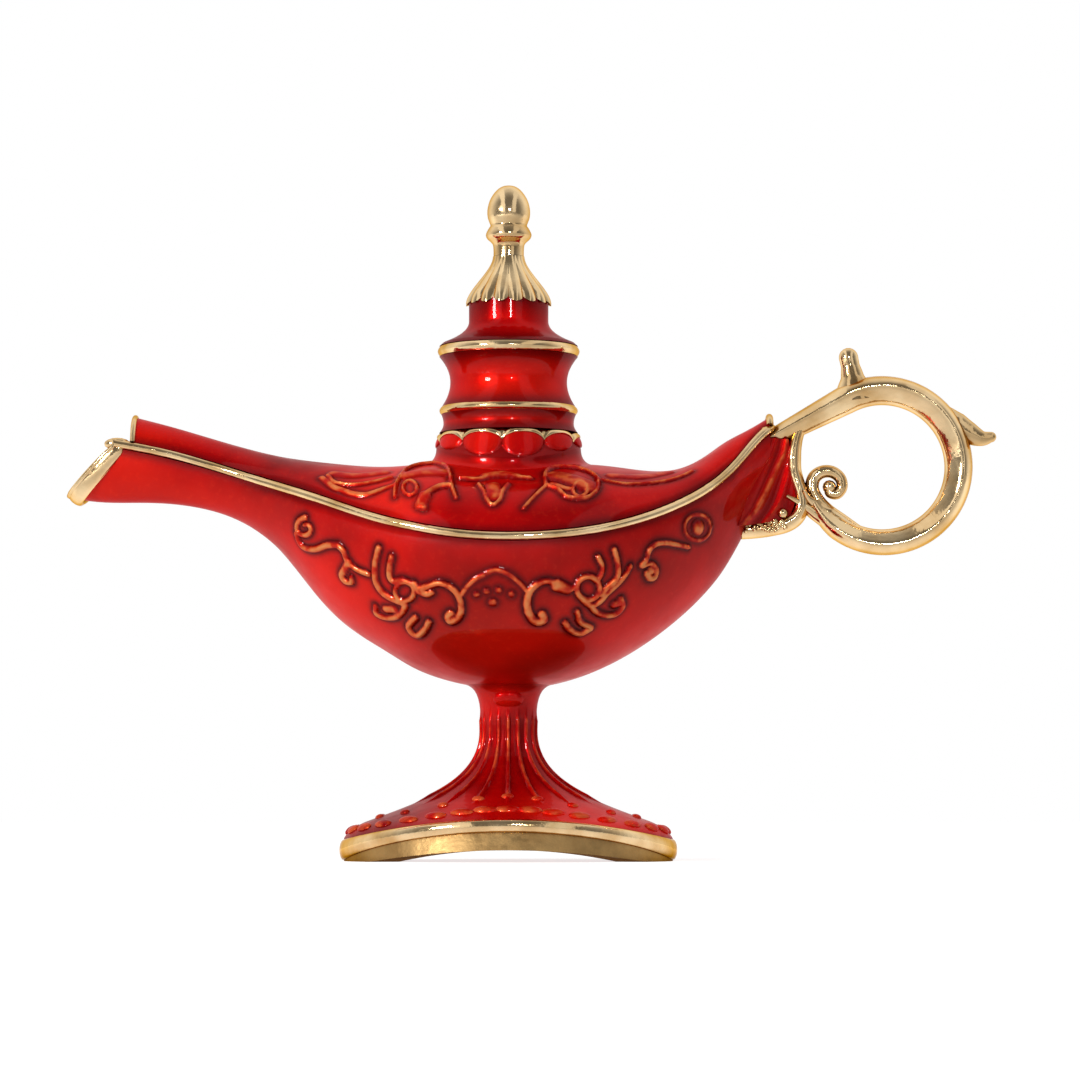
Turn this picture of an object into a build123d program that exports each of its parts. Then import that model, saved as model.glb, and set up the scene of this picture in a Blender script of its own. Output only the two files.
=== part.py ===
from build123d import *
from collections import namedtuple
from math import cos, radians, sin, tan
import os

# Oil lamp: footed bowl with a covered spout, a lift-off lid and a loop handle, in millimetres.
# X runs from the spout to the handle, Y is the depth and Z is up. The pieces are drawn about the
# stem's axis and shifted at the end, so that the origin is under the middle of the lamp's length.

# Foot and stem, heights above the floor
FOOT_RADIUS = 28.6
FOOT_WALL = 2.2
FOOT_HEIGHT = 29.2
WAIST_RADIUS = 4.6
WAIST_HEIGHT = 22.0
STEM_HEAD_RADIUS = 10.5
STEM_HEAD_HANG = 4.4
STEM_HEAD_EASE = 1.0
FLARE_RADIUS = 24.0
FLARE_HEIGHT = 6.8
FLARE_SLOPE = 20.0
FLARE_PULL = 10.5
FLARE_HANG = 8.5
SHOULDER_EASE = 0.6
SHOULDER_HEIGHT = 2.0
FOOT_CAVITY_HEIGHT = 13.8

# Foot band and base ring, which arch up between the two resting ends
BAND_PROUD = 0.35
BAND_TOP_MIDDLE = 7.1
BAND_TOP_END = 3.6
BAND_FOOT_MIDDLE = 3.8
BAND_FOOT_END = 1.2
BASE_INSET = 0.8
BASE_WIDTH = 6.0
BASE_ARCH = 2.0
PAD_START = 23.0

# Bolt through the stem
BOLT_RADIUS = 2.0
BOLT_CLEARANCE = 0.2
BOLT_HEAD_RADIUS = 3.6
BOLT_HEAD_HEIGHT = 2.8
BOLT_END = 1.0
WASHER_RADIUS = 4.6
WASHER_THICKNESS = 0.8
STEM_NUT_FLATS = 7.0
STEM_NUT_HEIGHT = 3.2
BOSS_RADIUS = 6.0
BOSS_HEIGHT = 4.3

# Body: bowl, rim band and cover
SPOUT_REACH = 75.4
BODY_BACK = 44.4
BODY_HALF_DEPTH = 28.0
BOWL_DEPTH = 24.2
COVER_RISE = 13.8
SPOUT_LIFT = 17.6
BACK_LIFT = 19.6
BODY_WALL = 1.6
RIM_BAND_HEIGHT = 1.5
RIM_BAND_PROUD = 0.6
ROUNDNESS = 0.56

# Lines of the body: where each cross-section stands (-1 the spout's tip, 0 the stem's axis, 1 the
# back end) and its share of the half depth, bowl depth, rim lift and cover rise. The rows before
# SPOUT_SHARE are the spout, and the body is solid past TAIL_SHARE.
Lines = namedtuple("Lines", "place width depth lift rise")
BODY_LINES = (
    Lines(-1.00, 0.236, 0.326, 1.00, 0.464),
    Lines(-0.87, 0.221, 0.397, 0.955, 0.40),
    Lines(-0.75, 0.207, 0.326, 0.852, 0.37),
    Lines(-0.645, 0.229, 0.293, 0.722, 0.362),
    Lines(-0.552, 0.329, 0.351, 0.59, 0.39),
    Lines(-0.46, 0.507, 0.574, 0.455, 0.47),
    Lines(-0.353, 0.707, 0.798, 0.284, 0.623),
    Lines(-0.22, 0.893, 0.930, 0.108, 0.848),
    Lines(-0.074, 0.993, 0.996, 0.006, 0.986),
    Lines(0.144, 0.993, 0.992, 0.005, 0.986),
    Lines(0.392, 0.886, 0.909, 0.092, 0.84),
    Lines(0.595, 0.680, 0.806, 0.255, 0.55),
    Lines(0.752, 0.464, 0.711, 0.459, 0.45),
    Lines(0.887, 0.264, 0.603, 0.755, 0.32),
    Lines(1.00, 0.125, 0.372, 1.00, 0.174),
)
SPOUT_SHARE = -0.5
TAIL_SHARE = 0.9

# Spout mouth, its lip and how far the cover stays back from the tip
MOUTH_SLANT = 46.5
LIP_THICKNESS = 1.6
LIP_PROUD = 0.5
COVER_SETBACK = 11.9

# Wick, its tube and the plate that holds the tube
WICK_TILT = 12.0
WICK_RADIUS = 1.85
WICK_CLEARANCE = 0.08
WICK_LENGTH = 40.0
WICK_STAND_OUT = 1.5
WICK_TUBE_WALL = 0.55
WICK_TUBE_LENGTH = 26.0
WICK_AXIS_SHARE = 0.52
MOUTH_RECESS = 11.0
WICK_PLATE_THICKNESS = 2.0
WICK_PLATE_PLACE = 10.0

# Neck collar
NECK_BORE = 8.6
COLLAR_RADIUS = 12.6
COLLAR_FOOT_RADIUS = 17.0
COLLAR_HEIGHT = 5.4
COLLAR_SINK = 6.0
COLLAR_EASE = 1.0
COLLAR_EDGE_HEIGHT = 1.5
COLLAR_EDGE_WIDTH = 0.9

# Lid tiers, from the collar up
LID_BASE_RADIUS = 11.0
LID_BASE_HEIGHT = 2.7
LOWER_RING_RADIUS = 11.8
LOWER_RING_HEIGHT = 2.2
DRUM_RADIUS = 10.9
DRUM_WAIST_RADIUS = 9.95
DRUM_HEIGHT = 7.6
UPPER_RING_RADIUS = 12.1
UPPER_RING_HEIGHT = 2.9
CROWN_FOOT_RADIUS = 9.4
CROWN_WAIST_RADIUS = 6.9
CROWN_RADIUS = 7.1
CROWN_HEIGHT = 6.5
LID_WALL = 2.2
SKIRT_RADIUS = 7.3
SKIRT_TOP_RADIUS = 2.7
SKIRT_HEIGHT = 8.4
SKIRT_EASE = 2.5
KNOB_NECK_RADIUS = 2.6
KNOB_BULGE_RADIUS = 4.0
KNOB_BULGE_HEIGHT = 5.4
KNOB_BULGE_LEVEL = 3.0
KNOB_GROOVE_RADIUS = 3.0
KNOB_BULB_RADIUS = 3.8
KNOB_BULB_HEIGHT = 6.8
KNOB_BULB_EASE = 0.5

# Plug under the lid, and the stud that holds the tiers together
PLUG_CLEARANCE = 0.25
PLUG_LENGTH = 7.0
PLUG_WALL = 1.6
PLUG_ROOF = 2.0
STUD_RADIUS = 1.5
STUD_CLEARANCE = 0.15
STUD_IN_KNOB = 4.0
STUD_END = 0.6
LID_NUT_FLATS = 5.5
LID_NUT_HEIGHT = 2.4

# Handle: arm, ring, scroll and spurs
ARM_DROP = 1.6
ARM_SLOPE = 28.0
ARM_LENGTH = 14.9
RING_RADIUS = 12.95
RING_SWEEP = 270.0
STRAP_THICKNESS = 5.0
STRAP_WIDTH = 6.8
CURL_RADIUS = 2.1
CURL_WIRE = 1.3
CURL_BALL = 1.4
CURL_SWEEP = 265.0
CURL_OFFSET = (-9.6, -3.3)
TAIL_POINTS = ((11.8, 6.2), (14.6, 4.8), (17.4, 4.4), (18.9, 4.9))
TAIL_RADII = (3.2, 2.6, 1.6, 0.95)
THUMB_POINTS = ((-4.1, 12.4), (-5.0, 16.2), (-5.7, 18.9))
THUMB_RADII = (3.1, 2.0, 1.6)

# Bracket that carries the handle, the web inside it and its rivet
WEB_LENGTH = 3.6
WEB_THICKNESS = 4.8
BRACKET_STRAP = 2.4
BRACKET_WIDTH = 6.4
BRACKET_DROP = 16.6
BRACKET_TOE = 7.0
BRACKET_CORNER = 0.9
RIVET_RADIUS = 1.0
RIVET_HEAD_RADIUS = 1.6
RIVET_HEAD_HEIGHT = 0.9
RIVET_INSET = 2.7

# Room by which a cutting tool passes the piece that it cuts
PASS = 2.0

# Heights that follow from the sizes above
RIM_Z = FOOT_HEIGHT + BOWL_DEPTH
CREST_Z = RIM_Z + COVER_RISE
COLLAR_Z = CREST_Z + COLLAR_HEIGHT
LOWER_RING_Z = COLLAR_Z + LID_BASE_HEIGHT
DRUM_Z = LOWER_RING_Z + LOWER_RING_HEIGHT
UPPER_RING_Z = DRUM_Z + DRUM_HEIGHT
CROWN_Z = UPPER_RING_Z + UPPER_RING_HEIGHT
SKIRT_Z = CROWN_Z + CROWN_HEIGHT
KNOB_Z = SKIRT_Z + SKIRT_HEIGHT
BOSS_Z = FOOT_HEIGHT + BOSS_HEIGHT
PLUG_Z = COLLAR_Z - PLUG_LENGTH

# Places in the side view, as (X from the stem's axis, Z)
ROOT = (BODY_BACK, RIM_Z + BACK_LIFT - ARM_DROP)
ARM_END = (
    ROOT[0] + ARM_LENGTH * cos(radians(ARM_SLOPE)),
    ROOT[1] + ARM_LENGTH * sin(radians(ARM_SLOPE)),
)
RING_CENTRE = (
    ARM_END[0] + RING_RADIUS * sin(radians(ARM_SLOPE)),
    ARM_END[1] - RING_RADIUS * cos(radians(ARM_SLOPE)),
)
HANDLE_REACH = RING_CENTRE[0] + TAIL_POINTS[-1][0] + TAIL_RADII[-1]
AXIS_X = (SPOUT_REACH - HANDLE_REACH) / 2

ON_BOTTOM = (Align.CENTER, Align.CENTER, Align.MIN)
Section = namedtuple("Section", "x half rim keel crest")


def post(radius, low, high):
    """Upright round bar about the stem's axis."""
    return Pos(0, 0, low) * Cylinder(radius, high - low, align=ON_BOTTOM)


def tube(outer, inner, low, high):
    """Upright tube about the stem's axis."""
    return post(outer, low, high) - post(inner, low, high)


def hexagon(flats, bore, low, high):
    """Upright hexagon nut about the stem's axis."""
    blank = extrude(RegularPolygon(flats / 2, 6, major_radius=False), high - low)
    return Pos(0, 0, low) * blank - post(bore, low, high)


def turned(*edges):
    """Solid turned about the stem's axis from a closed outline of (radius, Z) edges."""
    return revolve(Plane.XZ * make_face(edges), Axis.Z)


def plate(outline, thickness):
    """Flat plate in the side view, centred on the lamp's middle plane."""
    return extrude(Plane.XZ * outline, thickness / 2, both=True)


def around_ring(offset):
    """Side-view place given from the middle of the handle's ring."""
    return RING_CENTRE[0] + offset[0], RING_CENTRE[1] + offset[1]


def body_sections(rows, inset=0.0):
    """Real sizes of the body's cross-sections, drawn in by a wall or, if negative, let out."""
    sections = []
    for row in rows:
        reach = SPOUT_REACH if row.place < 0 else BODY_BACK
        lift = SPOUT_LIFT if row.place < 0 else BACK_LIFT
        rim = RIM_Z + lift * row.lift
        half = BODY_HALF_DEPTH * row.width - inset
        keel = rim - BOWL_DEPTH * row.depth + inset
        crest = rim + COVER_RISE * row.rise - inset
        sections.append(Section(reach * row.place, half, rim, keel, crest))
    return sections


def quarter_curves(x, half, edge_z, tip_z):
    """Two rounded quarters of a cross-section, from one edge over the tip to the other edge."""
    bend_z = edge_z + ROUNDNESS * (tip_z - edge_z)
    bend_y = ROUNDNESS * half
    near = Bezier((x, half, edge_z), (x, half, bend_z), (x, bend_y, tip_z), (x, 0, tip_z))
    far = Bezier((x, 0, tip_z), (x, -bend_y, tip_z), (x, -half, bend_z), (x, -half, edge_z))
    return [near, far]


def whole_face(section):
    """Cross-section of the body, keel to crest."""
    x, half, rim, keel, crest = section
    return Face(Wire(quarter_curves(x, half, rim, keel) + quarter_curves(x, -half, rim, crest)))


def seam_face(section):
    """Cross-section of the strip that parts bowl and cover, wider than the body."""
    x, rim = section.x, section.rim
    wide = section.half + PASS
    low = rim - RIM_BAND_HEIGHT / 2
    high = rim + RIM_BAND_HEIGHT / 2
    corners = [(x, -wide, low), (x, wide, low), (x, wide, high), (x, -wide, high)]
    return Face(Wire(Polyline(*corners, close=True).edges()))


def body_outside(rows=BODY_LINES, proud=0.0):
    """Outside of the body as one solid, let out where a band stands proud of it."""
    return loft([whole_face(section) for section in body_sections(rows, -proud)])


def body_cavity():
    """Hollow inside the body, open at the spout and closed by a solid tail."""
    rows = [row for row in BODY_LINES if row.place < TAIL_SHARE]
    sections = body_sections(rows, BODY_WALL)
    return loft([whole_face(section) for section in sections])


def mouth_tool(depth):
    """Block that cuts everything beyond the slanted mouth, moved in by a depth."""
    tip = body_sections(BODY_LINES, -LIP_PROUD)[0]
    size = 2 * SPOUT_REACH
    block = Pos(-size / 2 + depth, 0, 0) * Box(size, size, size)
    return Pos(tip.x, 0, tip.keel) * Rot(0, 90 - MOUTH_SLANT, 0) * block


def make_shells(body, cavity, mouth):
    """Bowl, rim band, cover and spout lip, parted along the seam that runs from spout to handle."""
    seam = loft([seam_face(section) for section in body_sections(BODY_LINES)])
    lower, upper = (body - seam).solids().sort_by(Axis.Z)
    band = (body_outside(proud=RIM_BAND_PROUD) & seam) - cavity - mouth
    lip = make_spout_lip(seam, cavity, mouth)
    return make_bowl(lower, cavity, mouth), band, make_cover(upper, cavity), lip


def make_bowl(outside, cavity, mouth):
    """Lower shell, with a boss on its floor for the stem's bolt."""
    boss = post(BOSS_RADIUS, 0, BOSS_Z) & outside
    bore = post(BOLT_RADIUS + BOLT_CLEARANCE, 0, BOSS_Z + PASS)
    return outside - cavity - mouth + boss - bore


def make_cover(outside, cavity):
    """Upper shell, bored at the neck, that ends short of the spout's tip and leaves a scoop."""
    size = 2 * SPOUT_REACH
    front = Pos(COVER_SETBACK - SPOUT_REACH - size / 2, 0, RIM_Z) * Box(size, size, size)
    return outside - cavity - front - post(NECK_BORE, RIM_Z, COLLAR_Z)


def make_spout_lip(seam, cavity, mouth):
    """Lip along the slanted mouth, from one end of the rim band under the spout to the other."""
    rows = [row for row in BODY_LINES if row.place < SPOUT_SHARE]
    rim = (body_outside(rows, LIP_PROUD) & mouth) - mouth_tool(0) - cavity
    below = (rim - seam).solids().sort_by(Axis.Z)[0]
    return below + (rim & seam)


def foot_outline(inset, drop):
    """Outline of the foot from the waist to the floor, drawn in and lowered for its inside."""
    slope = radians(FLARE_SLOPE)
    waist = (WAIST_RADIUS, WAIST_HEIGHT - drop)
    flare = (FLARE_RADIUS - inset, FLARE_HEIGHT - drop)
    edge = FOOT_RADIUS - inset
    shoulder = (edge, SHOULDER_HEIGHT - drop)
    rise = (FLARE_RADIUS - inset - FLARE_PULL * cos(slope), flare[1] + FLARE_PULL * sin(slope))
    ease = SHOULDER_EASE * (edge - flare[0])
    run = (flare[0] + ease, flare[1] - ease * tan(slope))
    return [
        Bezier(waist, (WAIST_RADIUS, waist[1] - FLARE_HANG), rise, flare),
        Bezier(flare, run, (edge, (flare[1] + shoulder[1]) / 2), shoulder),
        Line(shoulder, (edge, -drop)),
        Line((edge, -drop), (0, -drop)),
        Line((0, -drop), (0, waist[1])),
        Line((0, waist[1]), waist),
    ]


def foot_cavity():
    """Hollow under the foot, flat where the bolt's washer seats."""
    return turned(*foot_outline(BAND_PROUD + FOOT_WALL, FOOT_WALL)) & post(
        FOOT_RADIUS, -FOOT_WALL, FOOT_CAVITY_HEIGHT
    )


def under_arch(middle_z, end_z, span):
    """Block below an arch that runs across the foot, flat beyond its span."""
    far = FOOT_RADIUS + PASS
    outline = make_face(
        [
            Polyline((span, end_z), (far, end_z), (far, -PASS), (-far, -PASS), (-far, end_z), (-span, end_z)),
            ThreePointArc((-span, end_z), (0, middle_z), (span, end_z)),
        ]
    )
    return plate(outline, 2 * far)


def stem_head():
    """Upper half of the stem, from the waist to the underside of the bowl."""
    top = FOOT_HEIGHT + PASS
    waist = (WAIST_RADIUS, WAIST_HEIGHT)
    hang = (WAIST_RADIUS, WAIST_HEIGHT + STEM_HEAD_HANG)
    ease = (WAIST_RADIUS + STEM_HEAD_EASE, FOOT_HEIGHT - STEM_HEAD_EASE)
    head = (STEM_HEAD_RADIUS, top)
    return turned(
        Bezier(waist, hang, ease, head),
        Line(head, (0, top)),
        Line((0, top), (0, WAIST_HEIGHT)),
        Line((0, WAIST_HEIGHT), waist),
    )


def make_foot(body):
    """Pedestal, gold band and base ring of the foot."""
    cavity = foot_cavity()
    band_top = under_arch(BAND_TOP_MIDDLE, BAND_TOP_END, FOOT_RADIUS)
    band_foot = under_arch(BAND_FOOT_MIDDLE, BAND_FOOT_END, FOOT_RADIUS)
    base_foot = under_arch(BASE_ARCH, 0, PAD_START)
    bore = post(BOLT_RADIUS + BOLT_CLEARANCE, 0, FOOT_HEIGHT + PASS)
    stem = turned(*foot_outline(BAND_PROUD, 0)) + stem_head() - body
    pedestal = stem - cavity - band_top - bore
    rim = (turned(*foot_outline(0, -BAND_PROUD)) & band_top) - band_foot - cavity
    base_outer = FOOT_RADIUS - BASE_INSET
    base = (tube(base_outer, base_outer - BASE_WIDTH, 0, BAND_TOP_MIDDLE) & band_foot) - base_foot
    return pedestal, rim, base


def make_stem_bolt():
    """Bolt with a cheese head, from under the foot up into the bowl."""
    seat = FOOT_CAVITY_HEIGHT - WASHER_THICKNESS
    end = BOSS_Z + WASHER_THICKNESS + STEM_NUT_HEIGHT + BOLT_END
    return post(BOLT_RADIUS, seat, end) + post(BOLT_HEAD_RADIUS, seat - BOLT_HEAD_HEIGHT, seat)


def make_stem_washers():
    """Washers under the bolt's head and under its nut."""
    bore = BOLT_RADIUS + BOLT_CLEARANCE
    low = tube(WASHER_RADIUS, bore, FOOT_CAVITY_HEIGHT - WASHER_THICKNESS, FOOT_CAVITY_HEIGHT)
    high = tube(WASHER_RADIUS, bore, BOSS_Z, BOSS_Z + WASHER_THICKNESS)
    return Compound([low.solid(), high.solid()])


def make_stem_nut():
    """Nut on the bolt, inside the bowl."""
    low = BOSS_Z + WASHER_THICKNESS
    return hexagon(STEM_NUT_FLATS, BOLT_RADIUS, low, low + STEM_NUT_HEIGHT)


def wick_frame():
    """Frame at the outer end of the wick's tube, its Z along the tube and out of the mouth."""
    sections = body_sections(BODY_LINES)
    near = sections[1]
    place = near.keel + WICK_AXIS_SHARE * (near.crest - near.keel)
    x = -SPOUT_REACH + MOUTH_RECESS
    z = place + (near.x - x) * tan(radians(WICK_TILT))
    return Pos(x, 0, z) * Rot(0, -90 + WICK_TILT, 0)


def make_wick_parts(cavity):
    """Wick, the tube that it slides in and the plate that holds the tube in the spout."""
    frame = wick_frame()
    bore = WICK_RADIUS + WICK_CLEARANCE
    outer = bore + WICK_TUBE_WALL
    wick = frame * post(WICK_RADIUS, WICK_STAND_OUT - WICK_LENGTH, WICK_STAND_OUT)
    sleeve = frame * tube(outer, bore, -WICK_TUBE_LENGTH, 0)
    slab = frame * tube(
        BODY_HALF_DEPTH, outer, -WICK_PLATE_PLACE - WICK_PLATE_THICKNESS, -WICK_PLATE_PLACE
    )
    return wick, sleeve, slab & cavity


def make_neck_collar(body):
    """Collar that stands on the cover, with a seat for its gold edging, and the edging."""
    low = CREST_Z - COLLAR_SINK
    foot = (COLLAR_FOOT_RADIUS, low)
    seat = COLLAR_RADIUS - COLLAR_EDGE_WIDTH
    edge_z = COLLAR_Z - COLLAR_EDGE_HEIGHT
    ease = (COLLAR_RADIUS + COLLAR_EASE, CREST_Z)
    hang = (COLLAR_RADIUS, CREST_Z + COLLAR_EASE)
    collar = turned(
        Bezier(foot, ease, hang, (COLLAR_RADIUS, edge_z)),
        Polyline((COLLAR_RADIUS, edge_z), (seat, edge_z), (seat, COLLAR_Z), (NECK_BORE, COLLAR_Z)),
        Polyline((NECK_BORE, COLLAR_Z), (NECK_BORE, low), foot),
    )
    return collar - body, tube(COLLAR_RADIUS, seat, edge_z, COLLAR_Z)


def rounded_ring(radius, bore, low, height):
    """Turned ring with a half-round outer edge."""
    flat = radius - height / 2
    high = low + height
    return turned(
        ThreePointArc((flat, low), (radius, low + height / 2), (flat, high)),
        Polyline((flat, high), (bore, high), (bore, low), (flat, low)),
    )


def waisted_tier(foot, waist, top, bore, low, height):
    """Turned tier of the lid, drawn in at its waist."""
    high = low + height
    return turned(
        ThreePointArc((foot, low), (waist, low + height / 2), (top, high)),
        Polyline((top, high), (bore, high), (bore, low), (foot, low)),
    )


def make_finial_skirt(bore):
    """Cone under the knob, bored for the stud."""
    high = SKIRT_Z + SKIRT_HEIGHT
    foot = (SKIRT_RADIUS, SKIRT_Z)
    top = (SKIRT_TOP_RADIUS, high)
    return turned(
        Bezier(foot, (SKIRT_RADIUS, SKIRT_Z + SKIRT_EASE), (SKIRT_TOP_RADIUS, high - SKIRT_EASE), top),
        Polyline(top, (bore, high), (bore, SKIRT_Z), foot),
    )


def make_finial_knob():
    """Knob with a bulge and a bulb, bored from below for the stud."""
    bulge_z = KNOB_Z + KNOB_BULGE_HEIGHT
    top_z = bulge_z + KNOB_BULB_HEIGHT
    neck = (KNOB_NECK_RADIUS, KNOB_Z)
    groove = (KNOB_GROOVE_RADIUS, bulge_z)
    bulb_z = top_z - KNOB_BULB_RADIUS
    bulb = (KNOB_BULB_RADIUS, bulb_z)
    side = KNOB_BULB_RADIUS * sin(radians(45))
    return turned(
        ThreePointArc(neck, (KNOB_BULGE_RADIUS, KNOB_Z + KNOB_BULGE_LEVEL), groove),
        Bezier(groove, (KNOB_BULB_RADIUS, bulge_z + KNOB_BULB_EASE), bulb),
        ThreePointArc(bulb, (side, bulb_z + side), (0, top_z)),
        Polyline((0, top_z), (0, KNOB_Z + STUD_IN_KNOB), (STUD_RADIUS, KNOB_Z + STUD_IN_KNOB)),
        Polyline((STUD_RADIUS, KNOB_Z + STUD_IN_KNOB), (STUD_RADIUS, KNOB_Z), neck),
    )


def make_lid():
    """Tiers of the lid by name, with the plug, stud and nut that hold them together."""
    bore = STUD_RADIUS + STUD_CLEARANCE
    plug_radius = NECK_BORE - PLUG_CLEARANCE
    plug_roof = COLLAR_Z - PLUG_ROOF
    plug = post(plug_radius, PLUG_Z, COLLAR_Z) - post(plug_radius - PLUG_WALL, PLUG_Z, plug_roof)
    nut_low = plug_roof - LID_NUT_HEIGHT
    drum_bore = DRUM_WAIST_RADIUS - LID_WALL
    crown_bore = CROWN_WAIST_RADIUS - LID_WALL
    return {
        "lid_plug": plug - post(bore, PLUG_Z, COLLAR_Z),
        "lid_base": waisted_tier(
            LOWER_RING_RADIUS, LID_BASE_RADIUS, LID_BASE_RADIUS, bore, COLLAR_Z, LID_BASE_HEIGHT
        ),
        "lid_lower_ring": rounded_ring(LOWER_RING_RADIUS, bore, LOWER_RING_Z, LOWER_RING_HEIGHT),
        "lid_drum": waisted_tier(DRUM_RADIUS, DRUM_WAIST_RADIUS, DRUM_RADIUS, drum_bore, DRUM_Z, DRUM_HEIGHT),
        "lid_upper_ring": rounded_ring(UPPER_RING_RADIUS, bore, UPPER_RING_Z, UPPER_RING_HEIGHT),
        "lid_crown": waisted_tier(
            CROWN_FOOT_RADIUS, CROWN_WAIST_RADIUS, CROWN_RADIUS, crown_bore, CROWN_Z, CROWN_HEIGHT
        ),
        "finial_skirt": make_finial_skirt(bore),
        "finial_knob": make_finial_knob(),
        "lid_stud": post(STUD_RADIUS, nut_low - STUD_END, KNOB_Z + STUD_IN_KNOB),
        "lid_nut": hexagon(LID_NUT_FLATS, STUD_RADIUS, nut_low, plug_roof),
    }


def make_handle_loop():
    """Strap of oval section: a straight arm that runs on into the finger ring."""
    slope = radians(ARM_SLOPE)
    heading = (cos(slope), sin(slope))
    back = (ROOT[0] - STRAP_THICKNESS * heading[0], ROOT[1] - STRAP_THICKNESS * heading[1])
    arm = Line(back, ARM_END)
    ring = JernArc(ARM_END, heading, RING_RADIUS, -RING_SWEEP)
    path = Plane.XZ * Wire([arm, ring])
    start = Plane(path @ 0, x_dir=(0, 1, 0), z_dir=path % 0)
    loop = sweep(start * Ellipse(STRAP_WIDTH / 2, STRAP_THICKNESS / 2), path)
    body_side = Pos(BODY_BACK, 0, 0) * Box(
        2 * BODY_BACK, 2 * BODY_HALF_DEPTH, 2 * SKIRT_Z, align=(Align.MAX, Align.CENTER, Align.MIN)
    )
    return loop - body_side


def make_handle_scroll(loop):
    """Wire curl that rises from the lower end of the ring, ended by a ball."""
    centre = around_ring(CURL_OFFSET)
    foot_z = centre[1] - 2 * CURL_RADIUS
    side = (centre[0] - CURL_RADIUS, centre[1])
    foot = (side[0], foot_z)
    rise = Line(foot, side)
    curl = JernArc(side, (0, 1), CURL_RADIUS, -CURL_SWEEP)
    path = Plane.XZ * Wire([rise, curl])
    wire = sweep(Plane(path @ 0, z_dir=path % 0) * Circle(CURL_WIRE), path)
    ball = Pos(*(path @ 1)) * Sphere(CURL_BALL)
    return wire + ball - loop


def horn(points, radii, loop):
    """Tapered spur through round sections, ended by a ball and seated on the loop."""
    places = [Vector(x, 0, z) for x, z in map(around_ring, points)]
    faces = []
    for index, place in enumerate(places):
        before = places[max(index - 1, 0)]
        after = places[min(index + 1, len(places) - 1)]
        face = Plane(place, x_dir=(0, 1, 0), z_dir=after - before) * Circle(radii[index])
        faces.append(face)
    return loft(faces) + Pos(*places[-1]) * Sphere(radii[-1]) - loop


def make_bracket(body, loop):
    """Gold strap behind the bowl with its toe under the bowl, the red web in it and its rivet."""
    strap_in = BODY_BACK + WEB_LENGTH
    strap_out = strap_in + BRACKET_STRAP
    sole = ROOT[1] - BRACKET_DROP
    inner_sole = sole + BRACKET_STRAP
    toe = BODY_BACK - BRACKET_TOE
    round_off = BRACKET_STRAP + BRACKET_CORNER
    outer = [(toe, sole), (strap_out - round_off, sole), (strap_out, sole + round_off), (strap_out, ROOT[1])]
    inner = [(toe, inner_sole), (strap_in - BRACKET_CORNER, inner_sole)]
    inner += [(strap_in, inner_sole + BRACKET_CORNER), (strap_in, ROOT[1])]
    strap = plate(make_face(Polyline(*outer, *reversed(inner), close=True)), BRACKET_WIDTH)
    inner[0] = (toe + BRACKET_CORNER, inner_sole)
    back_corner = (BODY_BACK - BRACKET_CORNER, ROOT[1])
    panel = plate(make_face(Polyline(*inner, back_corner, close=True)), WEB_THICKNESS)
    rivet_place = Pos(strap_in - RIVET_INSET, 0, inner_sole + RIVET_INSET) * Rot(90, 0, 0)
    shank = rivet_place * Cylinder(RIVET_RADIUS, WEB_THICKNESS)
    rivet = shank
    for side in (-1, 1):
        head_y = side * (WEB_THICKNESS + RIVET_HEAD_HEIGHT) / 2
        rivet += rivet_place * Pos(0, 0, head_y) * Cylinder(RIVET_HEAD_RADIUS, RIVET_HEAD_HEIGHT)
    return strap - body - loop, panel - body - loop - shank, rivet


def make_lamp():
    """Every piece of the lamp by name, about the stem's axis."""
    cavity = body_cavity()
    mouth = mouth_tool(LIP_THICKNESS)
    body = body_outside()
    bowl, rim_band, cover, spout_lip = make_shells(body, cavity, mouth)
    loop = make_handle_loop()
    pedestal, foot_rim, foot_base = make_foot(body)
    wick, wick_tube, wick_plate = make_wick_parts(cavity)
    collar, collar_edge = make_neck_collar(body)
    bracket, web, rivet = make_bracket(body, loop)
    return {
        "foot_pedestal": pedestal,
        "foot_rim": foot_rim,
        "foot_base": foot_base,
        "stem_bolt": make_stem_bolt(),
        "stem_washers": make_stem_washers(),
        "stem_nut": make_stem_nut(),
        "bowl": bowl,
        "rim_band": rim_band,
        "cover": cover,
        "spout_lip": spout_lip,
        "wick": wick,
        "wick_tube": wick_tube,
        "wick_plate": wick_plate,
        "neck_collar": collar,
        "collar_edge": collar_edge,
        **make_lid(),
        "handle_loop": loop,
        "handle_scroll": make_handle_scroll(loop),
        "thumb_spur": horn(THUMB_POINTS, THUMB_RADII, loop),
        "tail_spur": horn(TAIL_POINTS, TAIL_RADII, loop),
        "handle_bracket": bracket,
        "handle_web": web,
        "handle_rivet": rivet,
    }


os.makedirs("parts", exist_ok=True)
for name, piece in make_lamp().items():
    export_step(Pos(AXIS_X, 0, 0) * piece, f"parts/{name}.step")
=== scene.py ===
"""Looks of an enamelled oil lamp: red shells with cast scrolls, polished gold trim, wick and studio."""

import math

import bmesh
import bpy
import numpy as np
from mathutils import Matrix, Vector
from mathutils.bvhtree import BVHTree


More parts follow.
